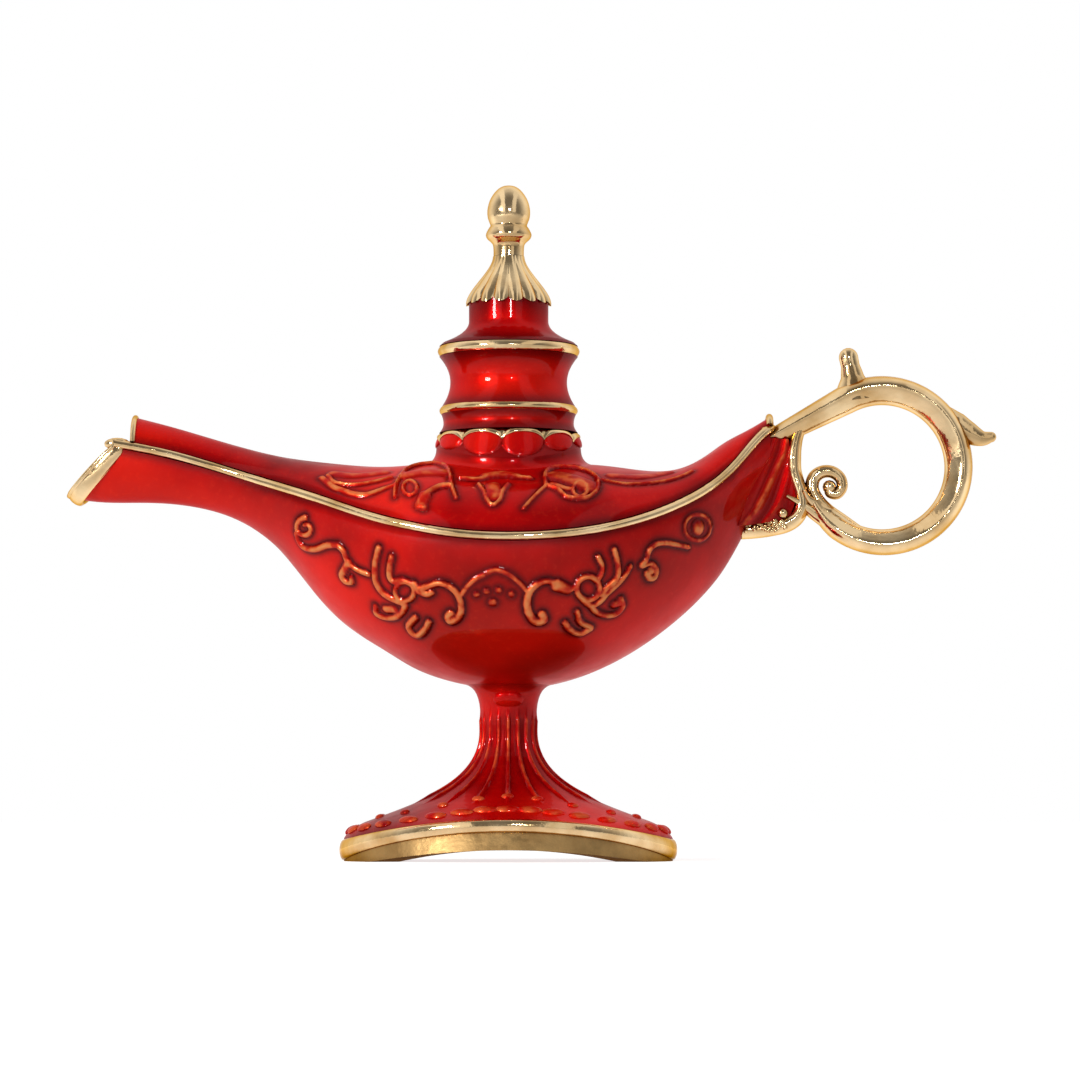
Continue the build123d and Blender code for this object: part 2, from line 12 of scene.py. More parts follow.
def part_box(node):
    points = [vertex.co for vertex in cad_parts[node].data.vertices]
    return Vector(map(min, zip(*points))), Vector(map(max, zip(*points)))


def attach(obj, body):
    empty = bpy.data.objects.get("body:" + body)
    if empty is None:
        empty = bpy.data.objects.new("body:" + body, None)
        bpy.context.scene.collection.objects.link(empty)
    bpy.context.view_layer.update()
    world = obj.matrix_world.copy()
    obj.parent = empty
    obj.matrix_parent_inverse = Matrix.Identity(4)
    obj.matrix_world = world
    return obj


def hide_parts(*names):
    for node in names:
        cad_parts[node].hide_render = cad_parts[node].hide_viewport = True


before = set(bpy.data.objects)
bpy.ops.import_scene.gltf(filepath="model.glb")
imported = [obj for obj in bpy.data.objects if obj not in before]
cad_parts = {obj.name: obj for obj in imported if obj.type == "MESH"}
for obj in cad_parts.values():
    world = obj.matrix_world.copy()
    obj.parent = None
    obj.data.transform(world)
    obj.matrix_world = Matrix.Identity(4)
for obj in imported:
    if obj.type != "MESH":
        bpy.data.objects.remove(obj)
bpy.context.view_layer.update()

MM = 0.001
TAU = 2 * math.pi
TINY = 1e-12
MIRROR = np.array([1, -1, 1])
MERGE_DISTANCE = 1e-7
SHARP_ANGLE = math.radians(40)

# Bodies that the pieces ride on, and the two slots that most of them have
LAMP, LID, WICK = "lamp_body", "lifting_lid", "feeding_wick"
RED, GOLD = "red_enamel", "polished_gold"

# Camera of the photo, and the width that it takes in at the lamp's middle plane
CAMERA_PLACE = Vector((1.3, -720, 8)) * MM
AIM = Vector((1.3, 0, 54.4)) * MM
VIEW_WIDTH = 183.6 * MM
SENSOR = 36.0
PHOTO_SIDE = 1080

# Line that the foot, stem and lid turn about
KNOB_LOW, KNOB_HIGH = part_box("finial_knob")
AXIS_X = (KNOB_LOW.x + KNOB_HIGH.x) / 2

# Fineness of the meshes
COARSE = 4
FINE_STEP = 0.25 * MM
WIDE_STEP = 1.0 * MM
SOFTEN_SPREAD = 3.0
SEAM_STOPS = 150
BEND_STOPS = 9
TURNED_SIDES = 96
FILLET_ROWS = 14
CORNER_ROWS = 5
TIER_ROWS = 25
CROWN_ROWS = 20
FLUTE_SIDES = 12
SKIRT_ROWS = 40
SKIRT_STOPS = 60
KNOB_PIECES = 6
LOBE_SIDES = 30
COLLAR_ROWS = 40
EDGING_ROWS = 9
FOOT_SIDES = 432
FOOT_ROWS = 150
FOOT_STOPS = 120
HOLLOW_ROWS = 8
BAND_SIDES = 240
BAND_ROWS = 15
SWEEP_SIDES = 20
LOZENGE_SIDES = 12
LOZENGE_ROWS = 8
ARM_STOPS = 24
RING_STOPS = 130
SECTION_PIECES = 5
SPUR_PIECES = 10
LINE_PIECES = 8
DOME_ROWS = 5
WEB_ROWS = 60
WEB_COLUMNS = 40
WICK_STOPS = 90

# Body shells
SHELL_WALL = 1.6 * MM
WALL_SHARE = 0.8
BODY_RADIUS = 26 * MM
SCROLL_FRONT = -44 * MM
SCROLL_BACK = 33 * MM
SCROLL_ANGLE = math.radians(54)
MOUTH_LEAN = math.radians(43.5)
LEAN_END = -50 * MM
EDGE_GAP = 0.05 * MM
EDGE_LAP = 0.3 * MM
SEAM_START = 2 * MM
SEAM_END = 0.15 * MM
BEAD_HALF_DEPTH = 1.15 * MM
BEAD_HALF_HEIGHT = 0.8 * MM
BEAD_TAIL = 1.6 * MM
TAIL_HOOP_RADIUS = 0.6 * MM
BROW_RADIUS = 0.45 * MM
LIP_HALF_THICK = 0.9 * MM
LIP_HALF_WIDE = 1.5 * MM
LIP_SETBACK = 0.5 * MM
LIP_SINK = 0.35 * MM
LIP_CORNER = 0.8
LIP_SWELL = 0.6
LIP_EDGE_RADIUS = 0.45 * MM
CORNER_SIZE = Vector((2.2, 0.95, 1.05)) * MM
NECK_HOLE = 9.6 * MM
BOSS_RADIUS = 6.0 * MM
BOSS_TOP = 33.5 * MM

# Relief of the scrolls, and the darker pooled enamel with painted shade beside them
RIDGE_HEIGHT = 0.62 * MM
RIDGE_FOOT = 0.8
POOL_SHADE_WIDTH = 0.8 * MM
POOL_SHADE_REACH = 3
# painted shade in a band along the seam
SEAM_POOL_SHADE = 0.7
SEAM_POOL_SHADE_WIDTH = 1.0 * MM
STROKE_SCALE = 0.8

# Neck collar and lid
NECK_BORE = 8.6 * MM
LOBES = 10
COLLAR_TURN = math.radians(23)
COLLAR_WALL = 5.2 * MM
COLLAR_SIDE_WALL = 2.6 * MM
COLLAR_FLARE = 2.6 * MM
COLLAR_SIDE_FLARE = 6.2 * MM
COLLAR_INSET = 1.2 * MM
COLLAR_ROOT = 1.5 * MM
COLLAR_BLUR = 3
LOBE_BULGE = 0.75 * MM
LOBE_MIDDLE = 0.4
LOBE_REACH = 0.56
LOBE_SINK = 0.5
# painted shade in the creases between the lobes, fading down over the collar's foot
CREASE_POOL_SHADE = 0.6
CREASE_WIDTH = 0.75
CREASE_FADE = 4
FILLET_SINK = 0.2 * MM
EDGING_BAND = 0.7 * MM
RED_DROP = 0.15 * MM
EDGING_PROUD = 0.3 * MM
EDGING_ROOT = 1.2 * MM
CUSP_HANG = 1.5 * MM
LID_BORE = 1.6 * MM
RING_BEVEL = 0.9 * MM
RING_FLAT = 0.35 * MM
RING_EASE = 0.7 * MM
EASE_LIMIT = 0.45
TIER_INSET = 0.3 * MM
TIER_LAP = 0.55 * MM
BASE_WAIST = 0.7 * MM
# painted shade at the ends of each lid tier, beside the rings
TIER_POOL_SHADE = 0.8
TIER_POOL_SHADE_WIDTH = 1.8 * MM
CROWN_WAIST_LEVEL = 0.6
CROWN_FLARE = 4.4 * MM
CROWN_CURVE = 2.2
CROWN_FLARE_HEIGHT = 3.8 * MM
FLUTES = 16
FLUTE_DEPTH = 0.65 * MM
FLUTE_CREST = 0.85
FLUTE_FADE = 1.15
SCALLOP = 0.7 * MM
SKIRT_WALL = 1.1 * MM
SKIRT_LIP = 0.4 * MM
SKIRT_FLOOR = 1.0 * MM
# outline of the knob: drop below its top and radius, in mm
KNOB_OUTLINE = (
    (0, 0), (0.15, 1.0), (0.68, 1.9), (1.66, 2.75), (2.83, 3.35), (4.2, 3.65), (5.4, 3.6), (6.3, 3.3),
    (6.83, 3.15), (7.4, 3.5), (8.3, 3.9), (9.0, 3.7), (9.6, 3.05), (10.1, 2.7), (11.0, 2.6), (12.0, 2.6),
)

# Foot
FOOT_WALL = 2.2 * MM
FOOT_CEILING = 13.8 * MM
# painted shade on the foot beside the band
FOOT_POOL_SHADE = 0.7
BOLT_BORE = 2.2 * MM
RIBS = 18
RIB_HALF_WIDTH = 0.42 * MM
RIB_FLANK = 0.6
RIB_HEIGHT = 0.4 * MM
RIB_FOOT = 9.5 * MM
RIB_TOP = 25 * MM
RIB_FADE = 1.4 * MM
# copper on the rib tops, which also paints their glints, and painted shade beside them
RIB_WEAR_GLINT = 0.55
RIB_POOL_SHADE = 0.4
STEM_HEAD_START = 24.6 * MM
STEM_HEAD_RADIUS = 11.5 * MM
# painted shade where the stem runs into the bowl
HEAD_POOL_SHADE = 0.35
BUD_Z = 27.2 * MM
BUD_SIZE = Vector((2.6, 1.7, 0.9)) * MM
BUD_SINK = 0.35 * MM
BUD_LEAN = 0.5
BAND_ROUND = 0.75 * MM
BAND_DEPTH = 2.4 * MM
BAND_DROP = 1.05 * MM
BAND_DROP_FADE = 6
BAND_RAISE = 1.1 * MM
BASE_WIDTH = 6 * MM
# copper on the bosses, which also paints their glints
BOSS_WEAR_GLINT = 0.55
# rows of bosses: name, count, rise above the band, turn in steps and size
FOOT_BOSSES = (
    ("foot_lozenges", 32, 1.6 * MM, 0.0, Vector((2.1, 1.15, 0.6)) * MM),
    ("foot_drops", RIBS, 3.7 * MM, 0.5, Vector((1.1, 0.8, 0.5)) * MM),
)

# Handle, with offsets and radii in mm about the ring's centre, and lines in the photo's pixels
RING_RADIUS = 12.95 * MM
STRAP_HALF = 2.5 * MM
STRAP_DEPTH = 3.4 * MM
STRAP_TAPER = 0.2
STRAP_TIP = 0.9
TIP_TAPER = 0.25
ROOT_TAPER = 0.4
# section of the strap: shares of its half width, outwards, and of its depth
STRAP_SECTION = [(1.0, 0.0), (0.78, 0.62), (0.3, 0.98), (-0.25, 0.8), (-0.85, 0.42)]
STRAP_SECTION += [(-1.0, 0.0)] + [(across, -depth) for across, depth in STRAP_SECTION[:0:-1]]
RING_SWEEP = math.radians(270)
ARM_SLOPE = math.radians(28)
ARM_ROOT = 2.2 * MM
LOOP_LOW, LOOP_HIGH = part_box("handle_loop")
RING_X = LOOP_HIGH.x - RING_RADIUS - STRAP_HALF
RING_Z = LOOP_LOW.z + RING_RADIUS + STRAP_HALF
CURL_LINE = (
    (858, 534), (842, 522), (827, 511), (817, 500), (812, 489), (814, 478), (822, 472),
    (832, 472), (840, 478), (842, 487), (837, 494), (830, 493), (829, 488),
)
CURL_RADII = (1.4, 0.8)
CURL_DEPTH = 1.15
CURL_BALL = (829.5, 487)
CURL_BALL_SIZE = Vector((1.2, 1.2, 1.2)) * MM
# points on the ring: name, node, offsets, radii and depth against width
SPURS = (
    (
        "thumb_point", "thumb_spur",
        ((-4.5, 11.2), (-4.8, 13.4), (-5.05, 15.3), (-5.4, 17.2), (-5.7, 18.6)),
        (3.5, 3.0, 2.0, 1.6, 1.65), 0.85,
    ),
    (
        "tail_point", "tail_spur",
        ((9.9, 9.3), (12.6, 7.2), (14.9, 5.6), (16.9, 4.8), (18.5, 5.0)),
        (1.6, 2.1, 1.9, 1.35, 0.9), 0.9,
    ),
)
DOME_SPAN = (0.3, 1.5)
LEAF_LINES = {
    "lower_leaf": ((832, 524), (815, 514), (800, 504), (786, 497)),
    "upper_leaf": ((829, 514), (817, 506), (808, 499), (803, 491)),
}
LEAF_RADII = (1.5, 0.2)
LEAF_DEPTH = 1.2
LEAF_SPREAD = 2.6 * MM
LEAF_BEND = 1.5

# Bracket, its ledge and stud, and the web between it and the bowl
BRACKET_LINE = (
    (802, 424), (796, 438), (793, 455), (793, 470), (796, 482), (800, 494),
    (801, 506), (796, 517), (786, 524), (770, 528), (755, 530), (741, 531),
)
BRACKET_HALF_DEPTH = 2.3 * MM
BRACKET_HALF_THICK = 1.45 * MM
BRACKET_TOP = 0.7
BRACKET_EASE = 0.2
GRAINS = 60
GRAIN_SEED = 3
GRAIN_FIELD = ((745, 521), (786, 532))
GRAIN_RADIUS = 0.42 * MM
STUD_PIXEL = (782, 514)
STUD_RADIUS = 0.95 * MM
WEB_BOWL_EDGE = ((764, 437), (760, 452), (754, 471), (748, 492), (743, 512), (738, 526))
WEB_STRAP_EDGE = ((788, 440), (790, 455), (790, 470), (792, 485), (795, 500), (788, 520))
WEB_SINK = 0.15 * MM
WEB_HALF = 1.7 * MM
WEB_HOLLOW = 0.7 * MM
# ridges of the web: place across at its top and at its bottom, and height share
WEB_RIDGES = ((0.95, 0.1, 1.0), (1.3, 0.55, 0.6), (0.5, -0.1, 0.5))
WEB_RIDGE_WIDTH = 0.1
# copper on the web's ridges with painted glints, and painted shade in its hollow
WEB_WEAR_GLINT = 0.6
WEB_POOL_SHADE = 0.4

# Wick
WICK_RADIUS = 1.85 * MM
WICK_TILT = math.radians(12)
WICK_STRANDS = 3
STRAND_SHARE = 0.5
WICK_LAY = 9 * MM

# Finishes
ENAMEL_DEEP = (0.18, 0.0004, 0.0015)
ENAMEL_MIDDLE = (0.50, 0.0010, 0.0015)
ENAMEL_LIGHT = (0.80, 0.010, 0.002)
# painted glow: lighter red on faces that look down
ENAMEL_UNDERGLOW = (0.74, 0.017, 0.004)
# darker pooled enamel with painted shade, beside ridges and seams and in creases
ENAMEL_POOLED_SHADE = (0.045, 0.0003, 0.002)
ENAMEL_EDGE = (0.9, 0.15, 0.1, 1)
UNDERGLOW_SHARE = 0.5
UNDERGLOW_REACH = (0.1, -0.9)
GLINT = (0.30, 0.03, 0.008)
GLINT_SHARE = 0.15
# copper of the bare ridges, which also paints their glints
COPPER = ((0.25, (0.60, 0.03, 0.008)), (0.6, (0.68, 0.12, 0.032)), (0.95, (0.70, 0.22, 0.07)))
BLACK = (0.0, 0.0, 0.0)
WHITE = (1.0, 1.0, 1.0)
# painted shade in the gold's grooves: its colour, reach and samples
GROOVE_SHADE = (0.22, 0.10, 0.03)
GROOVE_SHADE_REACH = 2.5 * MM
GROOVE_SHADE_SAMPLES = 8
GOLD_EDGE = (0.75, 0.50, 0.22, 1)
# golds: dark and bright colour, least and most roughness, and grain
GOLDS = {
    "polished_gold": ((0.62, 0.385, 0.16), (0.92, 0.68, 0.385), (0.07, 0.17), 0.3),
    "matt_gold": ((0.34, 0.20, 0.075), (0.48, 0.30, 0.12), (0.40, 0.55), 0.5),
    "raw_brass": ((0.50, 0.33, 0.12), (0.68, 0.48, 0.20), (0.25, 0.40), 0.2),
}
STEEL_DARK, STEEL_BRIGHT = (0.42, 0.42, 0.43), (0.60, 0.60, 0.61)
COTTON_DARK, COTTON_BRIGHT = (0.62, 0.55, 0.42), (0.86, 0.81, 0.70)
BUMP_DEPTH = 0.0003
MARK_DEPTH = 0.0001

# Studio
AMBIENT = 0.24
ROOM_DIM = 0.18
ROOM_REACH = (-0.65, 0.5)
# windows: left and right edge, as directions across, and brightness
WINDOWS = ((-0.62, -0.36, 1.0), (0.36, 0.62, 0.8))
WINDOW_SOFT = 0.05
FLOOR_HALF = 3.0
FLOOR_COLOUR = (0.7, 0.7, 0.7, 1)
FLOOR_NEAR = 0.74
FLOOR_FAR = 0.92
FLOOR_SPREAD = (0.06, 0.4)
FLOOR_REACH = (-0.12, 0.08)
LAMP_DISTANCE = 0.75
# lamps: name, azimuth and elevation in degrees, size, power, and whether it is mirrored
LAMPS = (
    ("key_lamp", -42, 14, 0.14, 3.5, True),
    ("front_lamp", 6, 12, 0.06, 1.0, True),
    ("top_lamp", 20, 65, 0.5, 1.0, False),
)


# Small helpers

def shares(count):
    """Even shares from 0 to 1, as a column."""
    return np.linspace(0, 1, count)[:, None]


def half_turn(count):
    """Angles from straight down to straight up, as a column."""
    return math.pi * (shares(count) - 0.5)


def ring_angles(count):
    """Even angles all round, as a row."""
    return np.linspace(0, TAU, count, endpoint=False)[None, :]


def bell(distance, width):
    """Smooth fall from 1 towards 0 past a width."""
    return np.exp(-((distance / width) ** 2))


def unit(rows):
    """Directions made one unit long."""
    return rows / np.maximum(np.linalg.norm(rows, axis=-1, keepdims=True), TINY)


def linked(name, data):
    """New object in the scene."""
    thing = bpy.data.objects.new(name, data)
    bpy.context.scene.collection.objects.link(thing)
    return thing


def add_node(tree, kind, inputs=None, **settings):
    """New node with its settings, and with its inputs linked to sockets or set to plain values."""
    node = tree.nodes.new(kind)
    for label, value in settings.items():
        setattr(node, label, value)
    for label, value in (inputs or {}).items():
        if isinstance(value, bpy.types.NodeSocket):
            tree.links.new(value, node.inputs[label])
        else:
            node.inputs[label].default_value = value
    return node


# Frame readings

def surface_of(*nodes):
    """Surfaces of CAD nodes, ready for casting rays."""
    points, faces = [], []
    for node in nodes:
        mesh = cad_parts[node].data
        start = len(points)
        points += [vertex.co.copy() for vertex in mesh.vertices]
        faces += [[start + i for i in face.vertices] for face in mesh.polygons]
    return BVHTree.FromPolygons(points, faces)


class Extent:
    """Lower edge, upper edge and half width of a CAD node at stations along X."""

    STATIONS = 160

    def __init__(self, node, start, stop):
        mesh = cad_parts[node].data
        self.places = np.array([vertex.co for vertex in mesh.vertices])
        self.ends = np.array([edge.vertices for edge in mesh.edges])
        self.x = np.linspace(start, stop, self.STATIONS)
        cuts = [self.cut(x) for x in self.x]
        self.low = np.array([cut[:, 2].min() for cut in cuts])
        self.high = np.array([cut[:, 2].max() for cut in cuts])
        self.half = np.array([np.abs(cut[:, 1]).max() for cut in cuts])

    def cut(self, x):
        """Points where the node's edges cross the upright plane at x."""
        first, second = self.places[self.ends[:, 0]], self.places[self.ends[:, 1]]
        crosses = (first[:, 0] - x) * (second[:, 0] - x) < 0
        first, second = first[crosses], second[crosses]
        share = (x - first[:, 0]) / (second[:, 0] - first[:, 0])
        return first + share[:, None] * (second - first)

    def read(self, values, x):
        """A value at x, carried on straight past the first station."""
        run = 3
        slope = (values[run] - values[0]) / (self.x[run] - self.x[0])
        return np.interp(x, self.x, values) + np.minimum(x - self.x[0], 0) * slope


BAND_LOW, BAND_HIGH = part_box("rim_band")
seam = Extent("rim_band", BAND_LOW.x + SEAM_START, BAND_HIGH.x - SEAM_END)
FOOT_LOW, FOOT_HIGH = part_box("foot_rim")
FOOT_RADIUS = (FOOT_HIGH.x - FOOT_LOW.x) / 2
foot_band = Extent("foot_rim", FOOT_LOW.x + EDGE_LAP, FOOT_HIGH.x - EDGE_LAP)


def seam_points(x):
    """Middle of the rim bead on the front side at places along X."""
    half = seam.read(seam.half, x) - BEAD_HALF_DEPTH
    return np.stack([x, -half, (seam.read(seam.low, x) + seam.read(seam.high, x)) / 2], axis=1)


def radius_at(surface, z, towards=(1, 0)):
    """Radius of a turned node at a height, seen from outside in one direction."""
    far = 0.1
    ray = Vector((*towards, 0))
    hit = surface.ray_cast(Vector((AXIS_X, 0, z)) + far * ray, -ray)[0]
    return math.hypot(hit.x - AXIS_X, hit.y)


def profile_of(surface, low, high, count, towards=(1, 0)):
    """Heights up a turned node, and its radii there."""
    heights = np.linspace(low, high, count)
    return heights, np.array([radius_at(surface, height, towards) for height in heights])


def band_edges(angle):
    """Heights of the lower and upper edge of the foot's band at angles round the axis."""
    x = AXIS_X + FOOT_RADIUS * np.cos(angle)
    return foot_band.read(foot_band.low, x), foot_band.read(foot_band.high, x)


def band_outside(angle):
    """Radius of the foot's band at angles round the axis, half way up the band."""
    surface = surface_of("foot_rim")
    middle = sum(band_edges(angle)) / 2
    places = zip(angle[0], middle[0])
    return np.array([[radius_at(surface, height, (math.cos(a), math.sin(a))) for a, height in places]])


# Meshes

def mesh_piece(name, points, faces, materials, face_slots=None, smooth=True):
    """New object from points and faces, in one or more materials."""
    mesh = bpy.data.meshes.new(name)
    mesh.from_pydata([tuple(point) for point in points], [], faces)
    for material in materials:
        mesh.materials.append(material)
    if face_slots is not None:
        mesh.polygons.foreach_set("material_index", np.array(face_slots, dtype=np.int32))
    mesh.polygons.foreach_set("use_smooth", np.full(len(mesh.polygons), smooth))
    mesh.update()
    return linked(name, mesh)


def add_values(piece, **values):
    """Stores numbers for each vertex under their names, for the materials."""
    for name, numbers in values.items():
        attribute = piece.data.attributes.new(name, "FLOAT", "POINT")
        attribute.data.foreach_set("value", np.asarray(numbers, dtype=np.float32).ravel())


def face_outwards(piece, merge=False):
    """Turns the faces outwards, with doubled points merged first where a piece closes on itself."""
    shape = bmesh.new()
    shape.from_mesh(piece.data)
    if merge:
        bmesh.ops.remove_doubles(shape, verts=shape.verts, dist=MERGE_DISTANCE)
    bmesh.ops.recalc_face_normals(shape, faces=shape.faces)
    shape.to_mesh(piece.data)
    shape.free()
    piece.data.set_sharp_from_angle(angle=SHARP_ANGLE)


def worked_mesh(piece):
    """Plain mesh of a piece with its modifiers applied."""
    return bpy.data.meshes.new_from_object(piece.evaluated_get(bpy.context.evaluated_depsgraph_get()))


def joined(name, parts):
    """One piece from several with the same material."""
    shape = bmesh.new()
    for part in parts:
        shape.from_mesh(part.data)
    mesh = bpy.data.meshes.new(name)
    shape.to_mesh(mesh)
    shape.free()
    mesh.materials.append(parts[0].data.materials[0])
    for part in parts:
        bpy.data.objects.remove(part)
    return linked(name, mesh)


def grid_faces(rows, columns, start=0, around=False):
    """Quads of a grid of points numbered row by row; around joins the last column to the first."""
    wide = columns if around else columns - 1
    row, column = np.meshgrid(np.arange(rows - 1), np.arange(wide), indexing="ij")
    following = (column + 1) % columns
    corners = [row * columns + column, row * columns + following]
    corners += [(row + 1) * columns + following, (row + 1) * columns + column]
    return (start + np.stack(corners, axis=-1).reshape(-1, 4)).tolist()


def grid_normals(points):
    """Unit normals of a grid of points."""
    return unit(np.cross(np.gradient(points, axis=0), np.gradient(points, axis=1)))


def dress(piece, body, slot, *nodes):
    """Lets a piece ride on a body in place of CAD nodes; its slot is not used."""
    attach(piece, body)
    if nodes:
        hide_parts(*nodes)


# Camera and the photo's pixels

def make_camera():
    """Camera at the photo's viewing angle."""
    data = bpy.data.cameras.new("photo_camera")
    data.sensor_width = SENSOR
    data.lens = SENSOR * (AIM - CAMERA_PLACE).length / VIEW_WIDTH
    camera = linked("photo_camera", data)
    camera.location = CAMERA_PLACE
    camera.rotation_euler = (AIM - CAMERA_PLACE).to_track_quat("-Z", "Y").to_euler()
    bpy.context.scene.camera = camera


def pixel_ray(u, v):
    """Direction from the camera through a pixel of the photo."""
    ahead = (AIM - CAMERA_PLACE).normalized()
    right = Vector((1, 0, 0))
    upward = right.cross(ahead)
    spread = VIEW_WIDTH / (AIM - CAMERA_PLACE).length / PHOTO_SIDE
    middle = PHOTO_SIDE / 2
    return (ahead + right * (u - middle) * spread - upward * (v - middle) * spread).normalized()


def on_surface(surface, pixels):
    """Places on a surface that the photo shows at these pixels."""
    hits = [surface.ray_cast(CAMERA_PLACE, pixel_ray(u, v))[0] for u, v in pixels]
    return np.array([hit for hit in hits if hit is not None])


def in_plane(pixels):
    """Places on the lamp's middle plane that the photo shows at these pixels."""
    rays = [pixel_ray(u, v) for u, v in pixels]
    return np.array([CAMERA_PLACE - ray * (CAMERA_PLACE.y / ray.y) for ray in rays])


# Scrolls: strokes of (pixels along the ridge, half width at its start and end in mm, height share)

def ring_stroke(u, v, radius, points=14):
    """Closed ring about a pixel."""
    turns = np.linspace(0, TAU, points)
    return [(u + radius * math.cos(t), v + radius * math.sin(t)) for t in turns]


def curl_stroke(u, v, inner, outer, start, turns, points=16):
    """Curl that opens from an inner to an outer radius, from a start angle in turns."""
    share = np.linspace(0, 1, points)
    radii = inner + (outer - inner) * share
    angles = TAU * (start + turns * share)
    return [(u + r * math.cos(a), v + r * math.sin(a)) for r, a in zip(radii, angles)]


BOWL_LINES = (
    # spout side: curl, wandering stem and hook
    (curl_stroke(306, 528, 3, 10.5, 0.70, 1.05), 0.55, 0.75, 0.8),
    ([(297, 533), (300, 542), (306, 548), (316, 549), (328, 545), (338, 545)], 0.75, 0.8, 0.9),
    ([(338, 545), (344, 551), (348, 561), (357, 569), (369, 574)], 0.8, 0.7, 0.9),
    ([(349, 562), (345, 569), (342, 575), (346, 581), (352, 582), (352, 577)], 1.0, 0.6, 1.0),
    # spout side: two prongs, knot, crescent and pendant
    ([(379, 548), (376, 560), (375, 572), (377, 583), (383, 592), (392, 598), (405, 603)], 0.8, 0.95, 1.0),
    ([(392, 557), (390, 566), (390, 576), (394, 581), (403, 580), (411, 583)], 0.8, 0.8, 1.0),
    (ring_stroke(405, 591, 9.5), 0.65, 0.65, 0.9),
    ([(414, 583), (419, 588), (428, 586), (439, 583), (449, 586), (457, 593), (461, 602)], 0.8, 0.8, 1.0),
    ([(461, 602), (461, 611), (457, 618), (451, 621), (448, 617), (451, 613)], 0.8, 1.0, 1.0),
    ([(419, 590), (427, 594), (432, 592)], 1.1, 0.7, 0.9),
    ([(376, 606), (377, 613), (385, 617), (395, 617), (402, 612), (406, 605)], 0.75, 0.8, 0.9),
    ([(386, 609), (395, 609)], 1.0, 1.0, 0.55),
    ([(416, 617), (409, 625), (412, 632), (418, 635), (425, 629), (429, 621)], 0.85, 0.8, 1.0),
    # handle side: scroll, leaf, knot and prongs
    ([(554, 582), (546, 581), (537, 584), (530, 591), (527, 601), (528, 611)], 0.7, 0.95, 1.0),
    ([(528, 611), (533, 619), (539, 622), (544, 619), (542, 614)], 0.95, 1.05, 1.0),
    ([(553, 583), (560, 588), (569, 590), (575, 586)], 0.8, 0.6, 1.0),
    ([(557, 585), (568, 589)], 1.5, 1.2, 1.0),
    (ring_stroke(588, 588, 11.5), 0.7, 0.7, 1.0),
    ([(598, 557), (602, 566), (601, 574), (598, 579)], 0.65, 0.6, 1.0),
    ([(614, 550), (617, 561), (618, 572), (615, 580), (606, 588), (602, 594)], 0.7, 0.85, 1.0),
    ([(630, 566), (624, 576), (616, 585), (607, 593), (600, 601), (591, 605), (583, 599)], 0.6, 0.8, 1.0),
    ([(590, 605), (597, 612), (607, 615), (616, 613), (622, 606), (620, 599)], 0.7, 0.9, 1.0),
    ([(614, 604), (618, 603)], 1.05, 1.0, 0.8),
    ([(565, 622), (570, 629), (580, 633), (590, 628)], 0.75, 0.85, 1.0),
    ([(577, 611), (580, 621), (590, 627)], 0.65, 0.8, 1.0),
    # handle side: wandering stem with a drop, and the round boss
    ([(641, 565), (646, 559), (649, 550), (656, 544), (667, 543), (678, 545), (688, 547)], 0.75, 0.55, 0.9),
    ([(642, 566), (650, 563), (656, 569), (654, 577), (649, 578), (646, 573)], 0.6, 0.8, 1.0),
    ([(650, 570), (651, 571)], 1.0, 1.0, 0.7),
    ([(697, 527), (698, 528)], 1.75, 1.75, 1.1),
)

ARCH_LINES = (
    # middle: arch with a row of beads
    ([(461, 595), (466, 588), (474, 580), (484, 575)], 0.6, 0.6, 0.55),
    ([(487, 573), (495, 570), (504, 572), (513, 577), (521, 584), (526, 590)], 0.6, 0.6, 0.55),
    *(([(u, v), (u + 1, v)], 0.75, 0.75, 0.6) for u, v in ((476, 594), (486, 591), (498, 590), (511, 594))),
    ([(492, 602), (493, 602)], 0.95, 0.95, 0.65),
    # handle side: ring round the boss
    (ring_stroke(697.5, 527.5, 13), 0.5, 0.5, 0.35),
)

COVER_LINES = (
    # spout side: bright edge of a sunk leaf, the soft ridge below it and the cartouche
    ([(328, 476), (336, 483), (356, 485), (376, 482), (392, 478)], 0.5, 0.45, 0.8),
    ([(322, 478), (332, 486), (342, 490), (356, 494), (368, 494), (380, 490), (392, 486)], 0.8, 0.7, 0.5),
    ([(395, 497), (396, 485), (401, 477), (407, 470), (418, 466), (434, 464)], 0.5, 0.5, 1.0),
    ([(434, 464), (446, 467), (450, 476), (452, 487), (456, 498)], 0.5, 0.5, 1.0),
    (ring_stroke(410, 488, 7), 0.45, 0.45, 0.7),
    ([(451, 486), (440, 487), (427, 494), (420, 503), (424, 508)], 0.55, 0.85, 1.2),
    # middle: leaf with a flat top, its side points and a hanging lobe
    ([(460, 479), (478, 480), (490, 476)], 0.4, 0.8, 0.9),
    ([(493, 476), (502, 475), (510, 476)], 1.5, 1.5, 1.1),
    ([(512, 477), (520, 478), (531, 479)], 0.8, 0.4, 0.9),
    ([(479, 485), (484, 492), (487, 500), (493, 505), (500, 500), (503, 491), (508, 485)], 0.5, 0.5, 0.9),
    ([(493, 496), (494, 497)], 1.0, 1.0, 0.8),
    # handle side: cartouche with an eye, its tail and the long ridge
    ([(546, 486), (545, 476), (549, 470), (560, 468), (577, 469), (592, 474), (598, 480)], 0.5, 0.5, 1.0),
    ([(598, 480), (597, 490), (590, 497), (580, 499), (566, 497), (558, 490), (546, 486)], 0.55, 0.55, 1.1),
    (ring_stroke(580, 490, 7), 0.5, 0.5, 0.9),
    ([(553, 484), (564, 488), (572, 489)], 1.0, 0.9, 0.5),
    ([(546, 486), (535, 496), (524, 508)], 0.5, 0.45, 0.7),
    ([(598, 480), (622, 484), (644, 484), (672, 480), (692, 472)], 0.5, 0.45, 0.7),
)

